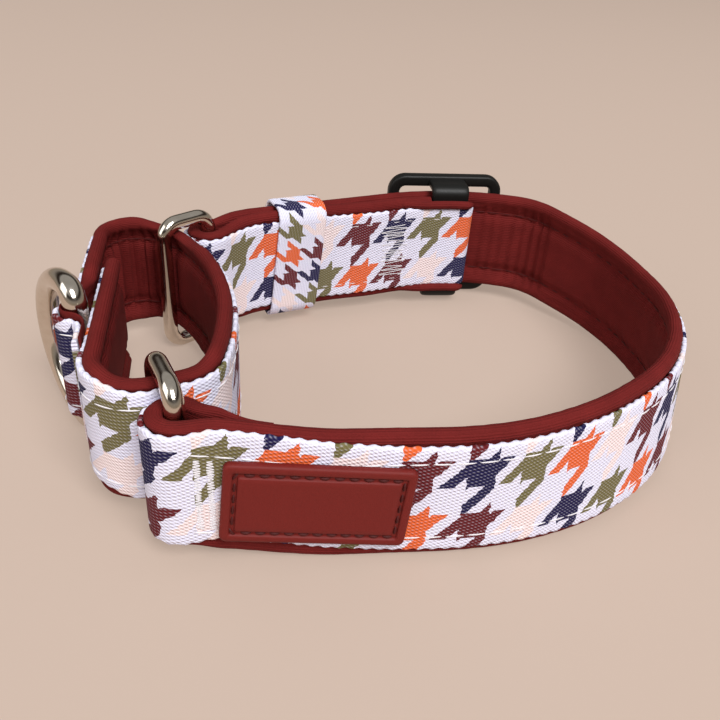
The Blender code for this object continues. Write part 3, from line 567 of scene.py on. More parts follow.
def houndstooth(node, uv, run, height, scale):
    """Where the print has ink, as 0 or 1, and which ink, from the run and height in metres.

    u and v count pitches along and up the tape. a and b are 1 in the second half of a pitch. Where they
    agree, the block is solid or bare. Elsewhere a stripe takes a, and the space between stripes takes b.
    """
    fuzz = node("TexNoise", {"Vector": uv, "Scale": 1 / FUZZ, "Detail": 1.0})
    wander = node("Math", [fuzz, 0.10, -0.05], operation="MULTIPLY_ADD")
    u = node("Math", [run, -1 / (PRINT_PITCH * scale), wander], operation="MULTIPLY_ADD")
    v = node("Math", [height, 1 / (PRINT_RISE * scale), PRINT_LIFT], operation="MULTIPLY_ADD")
    halves, units = [], []
    for count in (u, v):
        doubled_count = node("Math", [count, 2.0], operation="MULTIPLY")
        whole = node("Math", [doubled_count], operation="FLOOR")
        halves.append(node("Math", [whole, 2.0], operation="FLOORED_MODULO"))
        eighths = node("Math", [count, 8.0], operation="MULTIPLY")
        units.append(node("Math", [eighths, 4.0], operation="FLOORED_MODULO"))
    a, b = halves
    total = node("Math", units, operation="ADD")
    notched = node("Math", [total, NOTCH], operation="ADD")
    slant = node("Math", [notched, 4.0], operation="FLOORED_MODULO")
    stripe = node("Math", [slant, 2.0], operation="LESS_THAN")
    space = node("Math", [1.0, stripe], operation="SUBTRACT")
    in_space = node("Math", [b, space], operation="MULTIPLY")
    inked = node("Math", [stripe, a, in_space], operation="MULTIPLY_ADD")
    # A tooth beside or below a block belongs to the block that it grows from.
    owners = []
    for count, near, far, reach in ((u, a, b, 5.0 - NOTCH), (v, b, a, 3.0 - NOTCH)):
        bare = node("Math", [1.0, near], operation="SUBTRACT")
        outside = node("Math", [bare, far], operation="MULTIPLY")
        grown = node("Math", [total, reach], operation="LESS_THAN")
        back_by = node("Math", [outside, grown], operation="MULTIPLY")
        whole = node("Math", [count], operation="FLOOR")
        owners.append(node("Math", [whole, back_by], operation="SUBTRACT"))
    column, row = owners
    turn = node("Math", [column, 5.0], operation="FLOORED_MODULO")
    middle = node("Math", [turn, 0.5], operation="ADD")
    place = node("Math", [middle, 5.0], operation="DIVIDE")
    inks = []
    for colours in (LOW_ROW, TOP_ROW):
        ramp = node("ValToRGB", [place])
        ramp.color_ramp.interpolation = "CONSTANT"
        for k, colour in enumerate(colours):
            stop = ramp.color_ramp.elements[k] if k < 2 else ramp.color_ramp.elements.new(k / 5)
            stop.position = k / 5
            stop.color = linear(colour)
        inks.append(ramp)
    upper = node("Math", [row, 2.0], operation="FLOORED_MODULO")
    return inked, node("Mix", {0: upper, 6: inks[0], 7: inks[1]}, data_type="RGBA").outputs[2]


print("print pitch, mm:", PRINT_PITCH / MM)

# %% [markdown]
# ## Printed tape
#
# The tape is woven polyester with the print on its face. Woven threads could be modelled one by one, but
# the picture shows only their rhythm, so ribs and knuckles are two waves in the finish. They paint shade
# into the weave's hollows and a little white highlight onto the ink at its peaks, and lift the cloth as
# bump.


# %% Printed tape
GROUND = "#e7e6f7"
# Painted shade: the lavender grey that the cloth is darkened towards in the weave's hollows.
HOLLOW_SHADE = "#d6d4e2"
# Ribs, knuckles and the pad's courses are drawn as coarse as they need to be to show in the picture.
RIB = 1.4 * MM
KNUCKLE = 0.8 * MM
# Painted highlight: the share by which the ink gives way to the pale ground on the weave's peaks.
PEAK_HIGHLIGHT_STRENGTH = 0.3


def printed_tape(name, scale=1.0):
    """Woven tape: UV is (run of the print, height) in metres. The weave is the product of two waves.

    Matt cloth: it looks nearly the same from all sides, with a faint tooth where the threads cross.
    """
    material, tree, shader = new_material(name)
    node = functools.partial(add, tree)
    uv = node("UVMap", uv_map="strap")
    run, height = node("SeparateXYZ", [uv]).outputs[:2]
    inked, ink = houndstooth(node, uv, run, height, scale)
    rib_angle = node("Math", [run, 2 * math.pi / RIB], operation="MULTIPLY")
    rib = node("Math", [rib_angle], operation="SINE")
    half_step = node("Math", [run, math.pi / RIB], operation="MULTIPLY")
    knuckle_angle = node("Math", [height, 2 * math.pi / KNUCKLE, half_step], operation="MULTIPLY_ADD")
    knuckle = node("Math", [knuckle_angle], operation="SINE")
    crossing = node("Math", [rib, knuckle], operation="MULTIPLY")
    weave = node("Math", [crossing, 0.5, 0.5], operation="MULTIPLY_ADD")
    # Painted shade: from the weave's peaks down to its hollows, up to half of a darkened cloth is mixed in.
    unshaded_share = node("Math", [weave, 0.5, 0.5], operation="MULTIPLY_ADD")
    # Painted highlight: on the weave's highest peaks the ink gives way a little to the pale ground colour.
    peak_highlight = node("Math", [weave, 4.0], operation="POWER")
    ink_kept = node("Math", [peak_highlight, -PEAK_HIGHLIGHT_STRENGTH, 1.0], operation="MULTIPLY_ADD")
    ink_share = node("Math", [inked, ink_kept], operation="MULTIPLY")
    cloth = node("Mix", {0: ink_share, 6: linear(GROUND), 7: ink}, data_type="RGBA").outputs[2]
    # Painted shade: the cloth multiplied by the lavender grey, mixed in where the weave is low.
    dark = node("Mix", {0: 1.0, 6: cloth, 7: linear(HOLLOW_SHADE)}, data_type="RGBA", blend_type="MULTIPLY")
    shade = node("Mix", {0: unshaded_share, 6: dark.outputs[2], 7: cloth}, data_type="RGBA").outputs[2]
    bump = node("Bump", {"Height": weave, "Strength": 0.6, "Distance": 0.3 * MM})
    fill(tree, shader, {"Base Color": shade, "Normal": bump, "Roughness": 0.85, "Specular IOR Level": 0.1})
    return material


MAIN_TAPE = printed_tape("printed_polyester_tape")
KEEPER_TAPE = printed_tape("printed_narrow_tape", 0.62)
print("ribs of the tape, mm:", round(RIB / MM, 2))

# %% [markdown]
# ## Pad, thread, steel, plastic and rubber
#
# The pad is knitted cloth over foam, the rings are polished stainless steel, the slider is moulded acetal
# and the patch is moulded rubber. Smooth single colours would look like plastic toys. Each finish has a
# fine grain of its own size instead, in its colour, its gloss and its relief.


# %% Pad, thread, steel, plastic and rubber
COURSE = 0.6 * MM
BLOTCH = 6 * MM
STITCH_GRAIN = 0.35 * MM


def knitted_pad(name):
    """Knit over foam: fine lengthwise courses as a sine of the height, and a soft change of tone.

    The eye sees a dull, deep red that is a little lighter on its raised grain.
    """
    material, tree, shader = new_material(name)
    node = functools.partial(add, tree)
    uv = node("UVMap", uv_map="strap")
    height = node("SeparateXYZ", [uv]).outputs[1]
    course_angle = node("Math", [height, 2 * math.pi / COURSE], operation="MULTIPLY")
    course = node("Math", [course_angle], operation="SINE")
    blotch = node("TexNoise", {"Vector": uv, "Scale": 1 / BLOTCH, "Detail": 3.0})
    grain = node("TexNoise", {"Vector": uv, "Scale": 1 / STITCH_GRAIN, "Detail": 2.0})
    soft = node("Math", [blotch, 0.45], operation="MULTIPLY")
    tone = node("Math", [grain, 0.45, soft], operation="MULTIPLY_ADD")
    mix = node("Mix", {0: tone, 6: linear("#471110"), 7: linear("#832826")}, data_type="RGBA").outputs[2]
    relief = node("Math", [course, 0.8, grain], operation="MULTIPLY_ADD")
    bump = node("Bump", {"Height": relief, "Strength": 0.45, "Distance": 0.2 * MM})
    fill(tree, shader, {"Base Color": mix, "Normal": bump, "Roughness": 0.85, "Specular IOR Level": 0.12})
    return material


def grained(name, light, shadow, roughness, grain_size, relief, metallic=0.0):
    """A surface with a fine grain in its colour, its gloss and its relief, read from Object coordinates."""
    material, tree, shader = new_material(name)
    node = functools.partial(add, tree)
    place = node("TexCoord").outputs["Object"]
    grain = node("TexNoise", {"Vector": place, "Scale": 1 / grain_size, "Detail": 4.0})
    mix = node("Mix", {0: grain, 6: linear(shadow), 7: linear(light)}, data_type="RGBA").outputs[2]
    gloss = node("Math", [grain, 0.12, roughness - 0.06], operation="MULTIPLY_ADD")
    bump = node("Bump", {"Height": grain, "Strength": relief, "Distance": 0.1 * MM})
    fill(tree, shader, {"Base Color": mix, "Roughness": gloss, "Normal": bump})
    fill(tree, shader, {"Metallic": metallic, "Specular IOR Level": 0.25})
    return material


PAD = knitted_pad("knitted_polyester_pad")
# Polished wire mirrors the studio as sharp bands, and a slow change of tone keeps it from looking liquid.
STEEL = grained("polished_stainless_steel", "#ddd5ca", "#c9bdae", 0.14, 1.5 * MM, 0.02, 1.0)
# Moulded acetal is black with a broad, soft highlight.
ACETAL = grained("moulded_acetal", "#161513", "#0b0b0b", 0.45, 0.5 * MM, 0.05)
# Moulded rubber is dull, and its fine grit breaks up the light on its edges.
RUBBER = grained("moulded_rubber_patch", "#741f1a", "#601612", 0.6, 0.35 * MM, 0.25)
# Sewing thread has a slight sheen along its twist; the grain stands for the twist.
WHITE_THREAD = grained("white_polyester_thread", "#eeebf0", "#cdc8cc", 0.6, 0.2 * MM, 0.3)
DARK_THREAD = grained("maroon_polyester_thread", "#5a1a18", "#2c0d0d", 0.6, 0.2 * MM, 0.3)
print("finishes:", [item.name for item in bpy.data.materials])

# %% [markdown]
# ## Grid to mesh
#
# Every piece below is a grid of points: rows along a path, columns round a profile. Blender's curve bevel
# could carry a profile too, but a grid leaves each point free to move. One function turns such a grid into
# a closed mesh with its UV map and turns its faces outwards.


# %% Grid to mesh
SHARP = math.radians(50)


def mesh_piece(name, flat, faces, uv, material):
    """A smooth-shaded piece at the origin, with a UV map named strap."""
    mesh = bpy.data.meshes.new(name)
    mesh.from_pydata(flat.tolist(), [], faces)
    corner = np.empty(len(mesh.loops), np.int32)
    mesh.loops.foreach_get("vertex_index", corner)
    layer = mesh.uv_layers.new(name="strap")
    layer.uv.foreach_set("vector", uv[corner].astype(np.float32).ravel())
    mesh.shade_smooth()
    mesh.set_sharp_from_angle(angle=SHARP)
    mesh.materials.append(material)
    piece = bpy.data.objects.new(name, mesh)
    bpy.context.scene.collection.objects.link(piece)
    return piece


def skin(name, points, uv, material, looped=False):
    """A closed mesh from a grid of points (rows, columns, 3): columns close up; rows close up or get caps.

    The volume is the sum of the triple products of the faces' corners; where it is negative, faces turn.
    """
    rows, columns = points.shape[:2]
    index = np.arange(rows * columns).reshape(rows, columns)
    beside = np.roll(index, -1, 1)
    if looped:
        there = np.roll(np.arange(rows), -1)
        quads = np.stack([index, beside, beside[there], index[there]], -1).reshape(-1, 4)
    else:
        quads = np.stack([index[:-1], beside[:-1], beside[1:], index[1:]], -1).reshape(-1, 4)
    faces = quads.tolist()
    if not looped:
        faces += [index[0, ::-1].tolist(), index[-1].tolist()]
    flat = points.reshape(-1, 3)
    corners = flat[quads]
    volume = np.einsum("ij,ij->", np.cross(corners[:, 0], corners[:, 1]), corners[:, 2])
    volume += np.einsum("ij,ij->", np.cross(corners[:, 0], corners[:, 2]), corners[:, 3])
    if volume < 0:
        faces = [face[::-1] for face in faces]
    return mesh_piece(name, flat, faces, uv.reshape(-1, 2), material)


def dress(piece, body, slot, *nodes):
    """The piece moves with a body and stands for its CAD nodes; slot is not used."""
    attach(piece, body)
    if nodes:
        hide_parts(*nodes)
    print(piece.name, "has", len(piece.data.polygons), "faces")


print("edges sharper than this are kept, degrees:", round(math.degrees(SHARP)))

# %% [markdown]
# ## Threads and stitches
#
# Sewn thread is either one long line, as in a bartack, or a row of separate stitches. A line is a small
# circle carried along it. A stitch is a capsule with its ends dipped into the cloth; hundreds of them are
# made at once as one array, because a modifier or a loop for each would be slow.


# %% Threads and stitches
def normed(vectors):
    """Vectors of length 1."""
    return vectors / np.linalg.norm(vectors, axis=1)[:, None]


def circle(radius, count=24):
    """Round section: (cos, sin) of evenly spaced angles."""
    angle = np.linspace(0, 2 * math.pi, count, endpoint=False)
    return radius * np.column_stack([np.cos(angle), np.sin(angle)])


def carried(path, tangent, normal, section):
    """A section (across, out) carried along a path; across lies square to the tangent and the normal."""
    sideways = np.cross(tangent, normal)
    across = section[None, :, :1] * sideways[:, None]
    return path[:, None] + across + section[None, :, 1:] * normal[:, None]


THREAD_SIDES = 8


def thread_tube(points, normal, radius):
    """Grid of a round thread along points; the normal is the cloth's outside, made square to the thread."""
    tangent = normed(np.gradient(points, axis=0))
    normal = normed(normal - np.einsum("ij,ij->i", normal, tangent)[:, None] * tangent)
    return carried(points, tangent, normal, circle(radius, THREAD_SIDES))


def stitches(name, centre, tangent, normal, length, thick, material):
    """Capsules: radius thick/2 * sqrt(1.05 - t^2) for t from -1 to 1, with a dip of 0.45 thick * t^2."""
    t = np.array([-1.0, -0.8, -0.4, 0.0, 0.4, 0.8, 1.0])
    angle = np.linspace(0, 2 * math.pi, 6, endpoint=False)
    radius = thick / 2 * np.sqrt(1.05 - t**2)
    dip = -thick * 0.45 * t**2
    sideways = np.cross(tangent, normal)
    points = (
        centre[:, None, None]
        + (length / 2 * t)[None, :, None, None] * tangent[:, None, None]
        + (radius[:, None] * np.cos(angle))[None, :, :, None] * sideways[:, None, None]
        + (dip[:, None] + radius[:, None] * np.sin(angle))[None, :, :, None] * normal[:, None, None]
    )
    count, rows, columns = points.shape[:3]
    index = np.arange(rows * columns).reshape(rows, columns)
    beside = np.roll(index, -1, 1)
    quads = np.stack([index[:-1], index[1:], beside[1:], beside[:-1]], -1).reshape(-1, 4)
    first = (np.arange(count) * rows * columns)[:, None]
    faces = (first[:, :, None] + quads[None]).reshape(-1, 4).tolist()
    faces += (first + index[0]).tolist() + (first + index[-1, ::-1]).tolist()
    flat = points.reshape(-1, 3)
    return mesh_piece(name, flat, faces, flat[:, :2], material)


print("a thread has", THREAD_SIDES, "sides")

# %% [markdown]
# ## Tape
#
# Woven tape is a flat oval with round selvedges that wave a little at every weft thread. A plane with a
# Solidify modifier would have sharp edges, so the oval is carried along the run. Where the tape lies, how
# high it sits and where its print starts may all change along the strap.


# %% Tape
FACE_COLUMNS = 25
BACK_COLUMNS = 7
ROW_STEP = 0.5 * MM
SELVEDGE_WAVE = 2.6 * MM
SELVEDGE_DEPTH = 0.2 * MM


def at_run(run, value):
    """A value along a strap: a number, or a table of (runs, values)."""
    return np.interp(run, *value) if isinstance(value, tuple) else value


def tape_profile(width, thick, face_columns):
    """A flat oval as (share of thickness from -1 to 1, height): face, upper edge, back, lower edge."""
    edge = np.linspace(0, math.pi, 6)[1:-1]
    flat_half = width / 2 - thick / 2
    face, back = np.full(face_columns, -1.0), np.full(BACK_COLUMNS, 1.0)
    share = np.concatenate([face, -np.cos(edge), back, np.cos(edge)])
    height = np.concatenate(
        [
            np.linspace(-1, 1, face_columns) * flat_half,
            flat_half + thick / 2 * np.sin(edge),
            -np.linspace(-1, 1, BACK_COLUMNS) * flat_half,
            -flat_half - thick / 2 * np.sin(edge),
        ]
    )
    return share, height, flat_half


def tape(name, strap, end, low, print_start, raised=0.0):
    """Tape from low to low + its thickness on the left of the path: a flat oval carried along the run."""
    run = np.append(np.arange(0.0, end, ROW_STEP), end)[:, None]
    share, height, flat_half = tape_profile(TAPE_WIDTH, TAPE_THICK, FACE_COLUMNS)
    selvedge = np.where(np.abs(height) > flat_half, np.sign(height), 0.0)
    wave = SELVEDGE_DEPTH * np.sin(run * 2 * math.pi / SELVEDGE_WAVE) * selvedge
    side = at_run(run, low) + TAPE_THICK / 2 * (1 + share) + 0 * run
    points = strap_point(strap, run, side, height + wave + at_run(run, raised))
    uv = np.stack(np.broadcast_arrays(run + at_run(run, print_start), height + 0 * run), -1)
    return skin(name, points, uv, MAIN_TAPE)


print("tape, mm:", round(TAPE_WIDTH / MM, 1), "x", round(TAPE_THICK / MM, 1))

# %% [markdown]
# ## Pad
#
# The pad is foam in knitted cloth: thick rolls at both edges, drawn in along two sewn channels, with
# puckers and creases across. A cloth simulation would find these folds by itself, but it would lose the
# exact fit to the rings. So the folds are written as sums of waves and as single creases.


# %% Pad
rng = np.random.default_rng(7)
WAVE_LENGTHS = rng.uniform(3.5, 9.0, 9) * MM
WAVE_PHASES = rng.uniform(0, 2 * math.pi, 9)
CHANNEL = 9.2 * MM
CREASE_WIDTH = 1.1 * MM
PRESS_EASE = 8 * MM
ROLL_COLUMNS, BACK_POINTS = 15, 5
PAD_COLUMNS = (ROLL_COLUMNS, FACE_COLUMNS, ROLL_COLUMNS, BACK_POINTS)


def pucker(run):
    """A sum of nine waves of 3.5 to 9 mm, sharpened so that creases are narrower than swells."""
    waves = np.sin(run[..., None] * 2 * math.pi / WAVE_LENGTHS + WAVE_PHASES).mean(-1)
    return np.abs(waves) ** 0.8 * 2 - 0.5


def pad_profile():
    """The pad's outline as (share of thickness, height): upper roll, face, lower roll, back.

    The rolls are parts of ellipses; the face is drawn in at both channels by a bell curve of the height.
    """
    roll = np.radians(np.linspace(188, -38, ROLL_COLUMNS))
    roll_share = 0.44 + 0.60 * np.cos(roll)
    roll_height = 13.15 * MM + 1.85 * MM * np.sin(roll)
    face_height = np.linspace(11.5 * MM, -11.5 * MM, FACE_COLUMNS)
    near = np.exp(-(((np.abs(face_height) - CHANNEL) / (1.5 * MM)) ** 2))
    back_height = np.linspace(-12 * MM, 12 * MM, BACK_POINTS)
    share = np.concatenate([roll_share, 0.97 - 0.40 * near, roll_share[::-1], np.full(BACK_POINTS, 0.02)])
    return share, np.concatenate([roll_height, face_height, -roll_height[::-1], back_height])


def pad(name, strap, end, low, high, pressed=(), creases=()):
    """Soft pad from low to high on the left of the path: a profile carried along the run, then folded.

    Pressed spots, each (middle, half length), draw in what stands past the tape; creases, each
    (run, depth), fold the face with a bell curve of the run.
    """
    run = np.append(np.arange(0.0, end, 0.8 * MM), end)[:, None]
    low, high = at_run(run, low), at_run(run, high)
    share, height = pad_profile()
    on_face = np.repeat([0.0, 1.0, 0.0, 0.0], PAD_COLUMNS)
    on_roll = np.repeat([1.0, 0.0, 1.0, 0.0], PAD_COLUMNS)
    close = np.exp(-(((np.abs(height) - CHANNEL) / (3.0 * MM)) ** 2)) * on_face
    share = share - close * 0.16 * pucker(run)
    share = share + on_roll * 0.03 * pucker(run * 0.7 + 3 * MM)
    fade = np.clip(1.1 - (height / (15 * MM)) ** 4, 0.0, 1.0)
    for place, depth in creases:
        fold = np.exp(-(((run - place) / CREASE_WIDTH) ** 2))
        share = share - (on_face + 0.3 * on_roll) * depth * fold * fade
    squeeze = np.zeros_like(run)
    for middle, half in pressed:
        squeeze = np.maximum(squeeze, 1 - smooth((np.abs(run - middle) - half) / PRESS_EASE))
    drawn = 1 - (PRESSED_HALF - TAPE_EDGE) / (PAD_WIDTH / 2 - TAPE_EDGE)
    past = np.maximum(np.abs(height) - TAPE_EDGE, 0.0) * np.sign(height)
    points = strap_point(strap, run, low + share * (high - low), height - past * drawn * squeeze)
    around = np.concatenate([[0.0], np.cumsum(np.hypot(np.diff(points[0, :, 2]), 0.5 * MM))])
    uv = np.stack(np.broadcast_arrays(run, around[None] + 0 * run), -1)
    return skin(name, points, uv, PAD)


print("pad, mm:", round(PAD_WIDTH / MM, 1), "x", round(PAD_THICK / MM, 1))

# %% [markdown]
# ## Neck strap
#
# The longest piece of cloth: tape and pad, folded round a ring at both ends. Two loose strips could be laid
# on each other, but here both take their place from the same path, so they can't cross. The tape sits a
# little high near the front ring, and slip wrinkles gather beside the slider, as they do on the real one.

# %% Neck strap
# Creases beside the slider, as (distance from its middle in mm, share of the thickness).
SLIDER_CREASES = (
    (12, 0.2), (15, 0.3), (18, 0.28), (21.2, 0.3),
    (25, 0.36), (28.2, 0.45), (31.4, 0.45), (34.4, 0.3),
)
main_runs = MAIN["run"]
main_end = main_runs[-1]
# The turned-back end is pressed down to a wedge against the strap.
wedge = 2.5 * MM * (1 - smooth(main_runs / (18 * MM)))
# The cloth stretches a little, so the print is placed by four blocks that were measured along it.
block_runs = np.array([-6.0, 55.1, 106.7, 327.3]) * MM
block_counts = np.array([0.0, 5.0, 10.0, 31.0])
block_starts = (block_counts - 5.75) * PRINT_PITCH - lead_length - block_runs
main_print = (lead_length + block_runs, block_starts)
neck_run = main_runs - lead_length
raised = 1.9 * MM * smooth(neck_run / (8 * MM)) * (1 - smooth((neck_run - 16 * MM) / (30 * MM)))
main_tape = tape("main_tape", MAIN, main_end, (main_runs, wedge - SKIN), main_print, (main_runs, raised))
dress(main_tape, "band", "webbing", "main_webbing")
fold_half = HAIRPIN[0] / 2
main_pressed = [
    (0.0, 3 * MM),
    (lead_length - fold_half, fold_half),
    (lead_length + NECK_LENGTH + fold_half, fold_half),
]
main_creases = [(lead_length + SLIDER_RUN - offset * MM, depth) for offset, depth in SLIDER_CREASES]
main_pad = pad("main_pad", MAIN, main_end, (main_runs, wedge), PAD_THICK, main_pressed, main_creases)
dress(main_pad, "band", "lining", "main_lining")

# %% [markdown]
# ## Tail
#
# The tail is the free end of the neck strap, sewn round the slider's bar. When the slider shifts, the real
# tail bends along with it. A rigid piece would tear away at the keeper; here the tail's pieces are rigid,
# with their placement baked into their meshes.

# %% Tail
tail_end = TAIL_STRAP["run"][-1]
tail_print = -30.2 * MM - 0.75 * PRINT_PITCH
tail_tape = tape("tail_tape", TAIL_STRAP, tail_end, -TAPE_THICK / 2, tail_print)
under_runs = TAIL_STRAP["run"][: len(tail_runs)]
climb = smooth((RETURN_END + 3 * PAD_THICK - tail_runs) / (2 * PAD_THICK))
tail_floor = tail_side(tail_runs) - PAD_THICK - GAP - (TAPE_THICK + GAP) * climb
tail_pad = pad("tail_pad", TAIL_STRAP, TAIL_PAD_END, TAPE_THICK / 2 + GAP, (under_runs, tail_floor))
blend_start = tuple(strap_point(NECK, KEEPER_RUN - KEEPER_WIDTH / 2 - 5 * MM, TAIL_MID, 0.0))
blend_end = tuple(strap_point(NECK, beside_bar(BAR_HALF) + 2 * MM, TAIL_MID, 0.0))


def dress_tail(piece, slot, *nodes):
    """The piece's placement is baked into its mesh, and it stands for its CAD nodes; slot is not used."""
    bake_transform(piece)
    if nodes:
        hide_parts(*nodes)
    print(piece.name, "has", len(piece.data.polygons), "faces")


dress_tail(tail_tape, "webbing", "tail_webbing")
dress_tail(tail_pad, "lining", "tail_lining")

# %% [markdown]
# ## Edges of the tail's pad
#
# Past the end of the pad its two edge rolls run on to the fold, in front of the slider's bar. The whole pad
# can't go there, because the bar is in its way. The rolls are thin enough to be tubes: a circle carried
# along the strap's edge, with an end that rounds off like a square root.

# %% Edges of the tail's pad
ROLL_RADIUS = 1.25 * MM
ROLL_HEIGHT = 13.4 * MM
roll_runs = np.linspace(TAIL_PAD_END - 9 * MM, under_runs[-1] + 2.5 * MM, 70)
settled = smooth((roll_runs - roll_runs[0]) / (8 * MM))
rounded = np.sqrt(np.clip((roll_runs[-1] - roll_runs) / (2 * MM), 0.05, 1.0))
roll_around = np.arange(THREAD_SIDES)[None] * ROLL_RADIUS * math.pi / 4
roll_uv = np.stack(np.broadcast_arrays(roll_runs[:, None], roll_around), -1)
for place, height in (("upper", ROLL_HEIGHT), ("lower", -ROLL_HEIGHT)):
    line = strap_point(TAIL_STRAP, roll_runs, (1.5 - 2.0 * settled) * MM, height)
    grid = thread_tube(line, np.broadcast_to(UPWARD, line.shape), ROLL_RADIUS)
    grid = line[:, None] + (grid - line[:, None]) * rounded[:, None, None]
    dress_tail(skin("tail_" + place + "_roll", grid, roll_uv, PAD), "lining")

# %% [markdown]
# ## Control loop
#
# The same tape and pad as the neck strap. In the D-ring's tunnel the pad is pressed nearly flat, and in
# the tight rear bend its inside gathers in wrinkles. Both could be sculpted; as tables along the run they
# stay where the path has its bends.

# %% Control loop
# Creases in the rear bend, as (distance from its start in mm, share of the thickness).
LOOP_CREASES = (
    (4, 0.3), (7.2, 0.45), (10.4, 0.55), (13.3, 0.6), (16.4, 0.6),
    (19.4, 0.6), (22.6, 0.6), (25.5, 0.55), (28.6, 0.5), (31.6, 0.4),
)
loop_runs = LOOP["run"]
loop_end = loop_runs[-1]
lifted = smooth((loop_runs - 34 * MM) / (8 * MM)) * (1 - smooth((loop_runs - 49 * MM) / (8 * MM)))
loop_print = 0.25 * PRINT_PITCH - 53 * MM
loop_tape = tape("loop_tape", LOOP, loop_end, -SKIN, loop_print, (loop_runs, 1.5 * MM * lifted))
dress(loop_tape, "control_loop", "webbing", "loop_webbing")
at_front = LOOP_KNOTS[2] + LOOP_FRONT_RADIUS * (FRONT_RING_TURN - math.pi / 2 - front_from)
at_rear = LOOP_KNOTS[5] + LOOP_REAR_RADIUS * (REAR_RING_TURN - math.pi / 2 - rear_from)
at_bar = (LOOP_KNOTS[8] + LOOP_KNOTS[11]) / 2
bump_half = (LOOP_KNOTS[11] - LOOP_KNOTS[8]) / 2
loop_pressed = [(at_front, RING_WIRE * 2), (at_rear, RING_WIRE * 2), (at_bar, bump_half + D_WIRE)]
flattened = 1 - smooth((at_bar - loop_runs - bump_half) / (8 * MM))
loop_thick = (loop_runs, PAD_THICK + (TUNNEL_PAD - PAD_THICK) * flattened)
loop_creases = [(LOOP_KNOTS[5] + offset * MM, depth) for offset, depth in LOOP_CREASES]
loop_pad = pad("loop_pad", LOOP, loop_end, 0.0, loop_thick, loop_pressed, loop_creases)
dress(loop_pad, "control_loop", "lining", "loop_lining")

# %% [markdown]
# ## Rings
#
# The two rings are bent from round wire and welded. A torus would be round, and these are rectangles with
# round corners, so a circle is carried along such an outline. The outline is filled evenly with points,
# because long thin faces on the straights would show in the reflections.


# %% Rings
OUTLINE_POINTS = 260


def closed_runs(outline):
    """The runs of a closed outline's points, and the points with the first one again at the end."""
    closed = np.vstack([outline, outline[:1]])
    pace = np.linalg.norm(np.diff(closed, axis=0), axis=1)
    return np.concatenate([[0.0], np.cumsum(pace)]), closed


def on_outline(spots, knots, closed):
    """Points of a closed outline at given runs, each column interpolated."""
    return np.column_stack([np.interp(spots, knots, closed[:, k]) for k in (0, 1)])


def rounded_outline(half_wide, half_high, radius, steps=14):
    """Rectangle with round corners as (x, z) rows: four quarter circles, then evenly filled with points."""
    angle = np.linspace(0, math.pi / 2, steps)
    corners = []
    for quarter, (sx, sz) in enumerate(((1, 1), (-1, 1), (-1, -1), (1, -1))):
        turned = angle + quarter * math.pi / 2
        centre = np.array([sx * (half_wide - radius), sz * (half_high - radius)])
        corners.append(centre + radius * np.column_stack([np.cos(turned), np.sin(turned)]))
    knots, closed = closed_runs(np.concatenate(corners))
    return on_outline(np.linspace(0, knots[-1], OUTLINE_POINTS, endpoint=False), knots, closed)


def upright_loop(outline, base, heading, middle, section):
    """Carry a section round an upright outline: its x follows the heading, its z counts from the middle."""
    ahead = np.append(unit(heading), 0.0)
    path = np.append(base, middle) + outline[:, :1] * ahead + outline[:, 1:] * UPWARD
    tangent = normed(np.roll(path, -1, 0) - np.roll(path, 1, 0))
    return carried(path, tangent, np.broadcast_to(np.append(left_of(heading), 0.0), path.shape), section)


ring_outline = rounded_outline(RING_SPACING / 2, RING_HALF, RING_CORNER)
ring_outline[:, 0] += RING_SPACING / 2
ring_middle = RING_HALF + RING_WIRE / 2
for name, place, heading in (
    ("front_ring", FRONT_RING, FRONT_RING_TURN),
    ("rear_ring", REAR_RING, REAR_RING_TURN),
):
    grid = upright_loop(ring_outline, place, heading, ring_middle, circle(RING_WIRE / 2))
    ring = skin(name + "_wire", grid, grid[..., :2], STEEL, looped=True)
    dress(ring, name, "steel", name)

# %% [markdown]
# ## D-ring
#
# The leash clips to the D-ring. It is thicker wire with one straight bar, which sits in the control loop's
# tunnel, and a half-round bow. Its outline is put together from four parts, and the same function carries
# the wire round it.

# %% D-ring
D_REACH = 20.3 * MM
D_CORNER = 3.6 * MM
D_HEADING = math.radians(131)
arch = np.linspace(0, math.pi, 160)
bow_part = np.column_stack([D_CORNER + (D_REACH - D_CORNER) * np.sin(arch), D_HALF * np.cos(arch)])
corner_angle = np.linspace(0, math.pi / 2, 18)[1:]
low_out, low_up = D_CORNER * (1 - np.sin(corner_angle)), D_CORNER * (1 - np.cos(corner_angle)) - D_HALF
low_part = np.column_stack([low_out, low_up])
bar_part = np.column_stack([np.zeros(60), np.linspace(D_CORNER - D_HALF, D_HALF - D_CORNER, 62)[1:-1]])
high_part = low_part[::-1] * (1, -1)
d_outline = np.concatenate([bow_part, low_part, bar_part, high_part[:-1]])
grid = upright_loop(d_outline, D_BAR, D_HEADING, D_HALF + D_WIRE / 2, circle(D_WIRE / 2, 28))
d_ring = skin("d_ring_wire", grid, grid[..., :2], STEEL, looped=True)
dress(d_ring, "d_ring", "steel", "d_ring")

# %% [markdown]
# ## Slider
#
# The slider is moulded in one piece: a frame behind the strap and a centre bar that bridges the strap
# like a staple. Boxes with a Bevel modifier would do for the frame, but not for the bent bar. Both are a
# rounded box section carried along a line instead, round a rectangle and along a staple.


# %% Slider
def squircle(half_wide, half_high, power, count=36):
    """Rounded box section: |x/a|^power + |y/b|^power = 1."""
    curve = circle(1.0, count)
    return np.sign(curve) * np.abs(curve) ** (2 / power) * (half_wide, half_high)


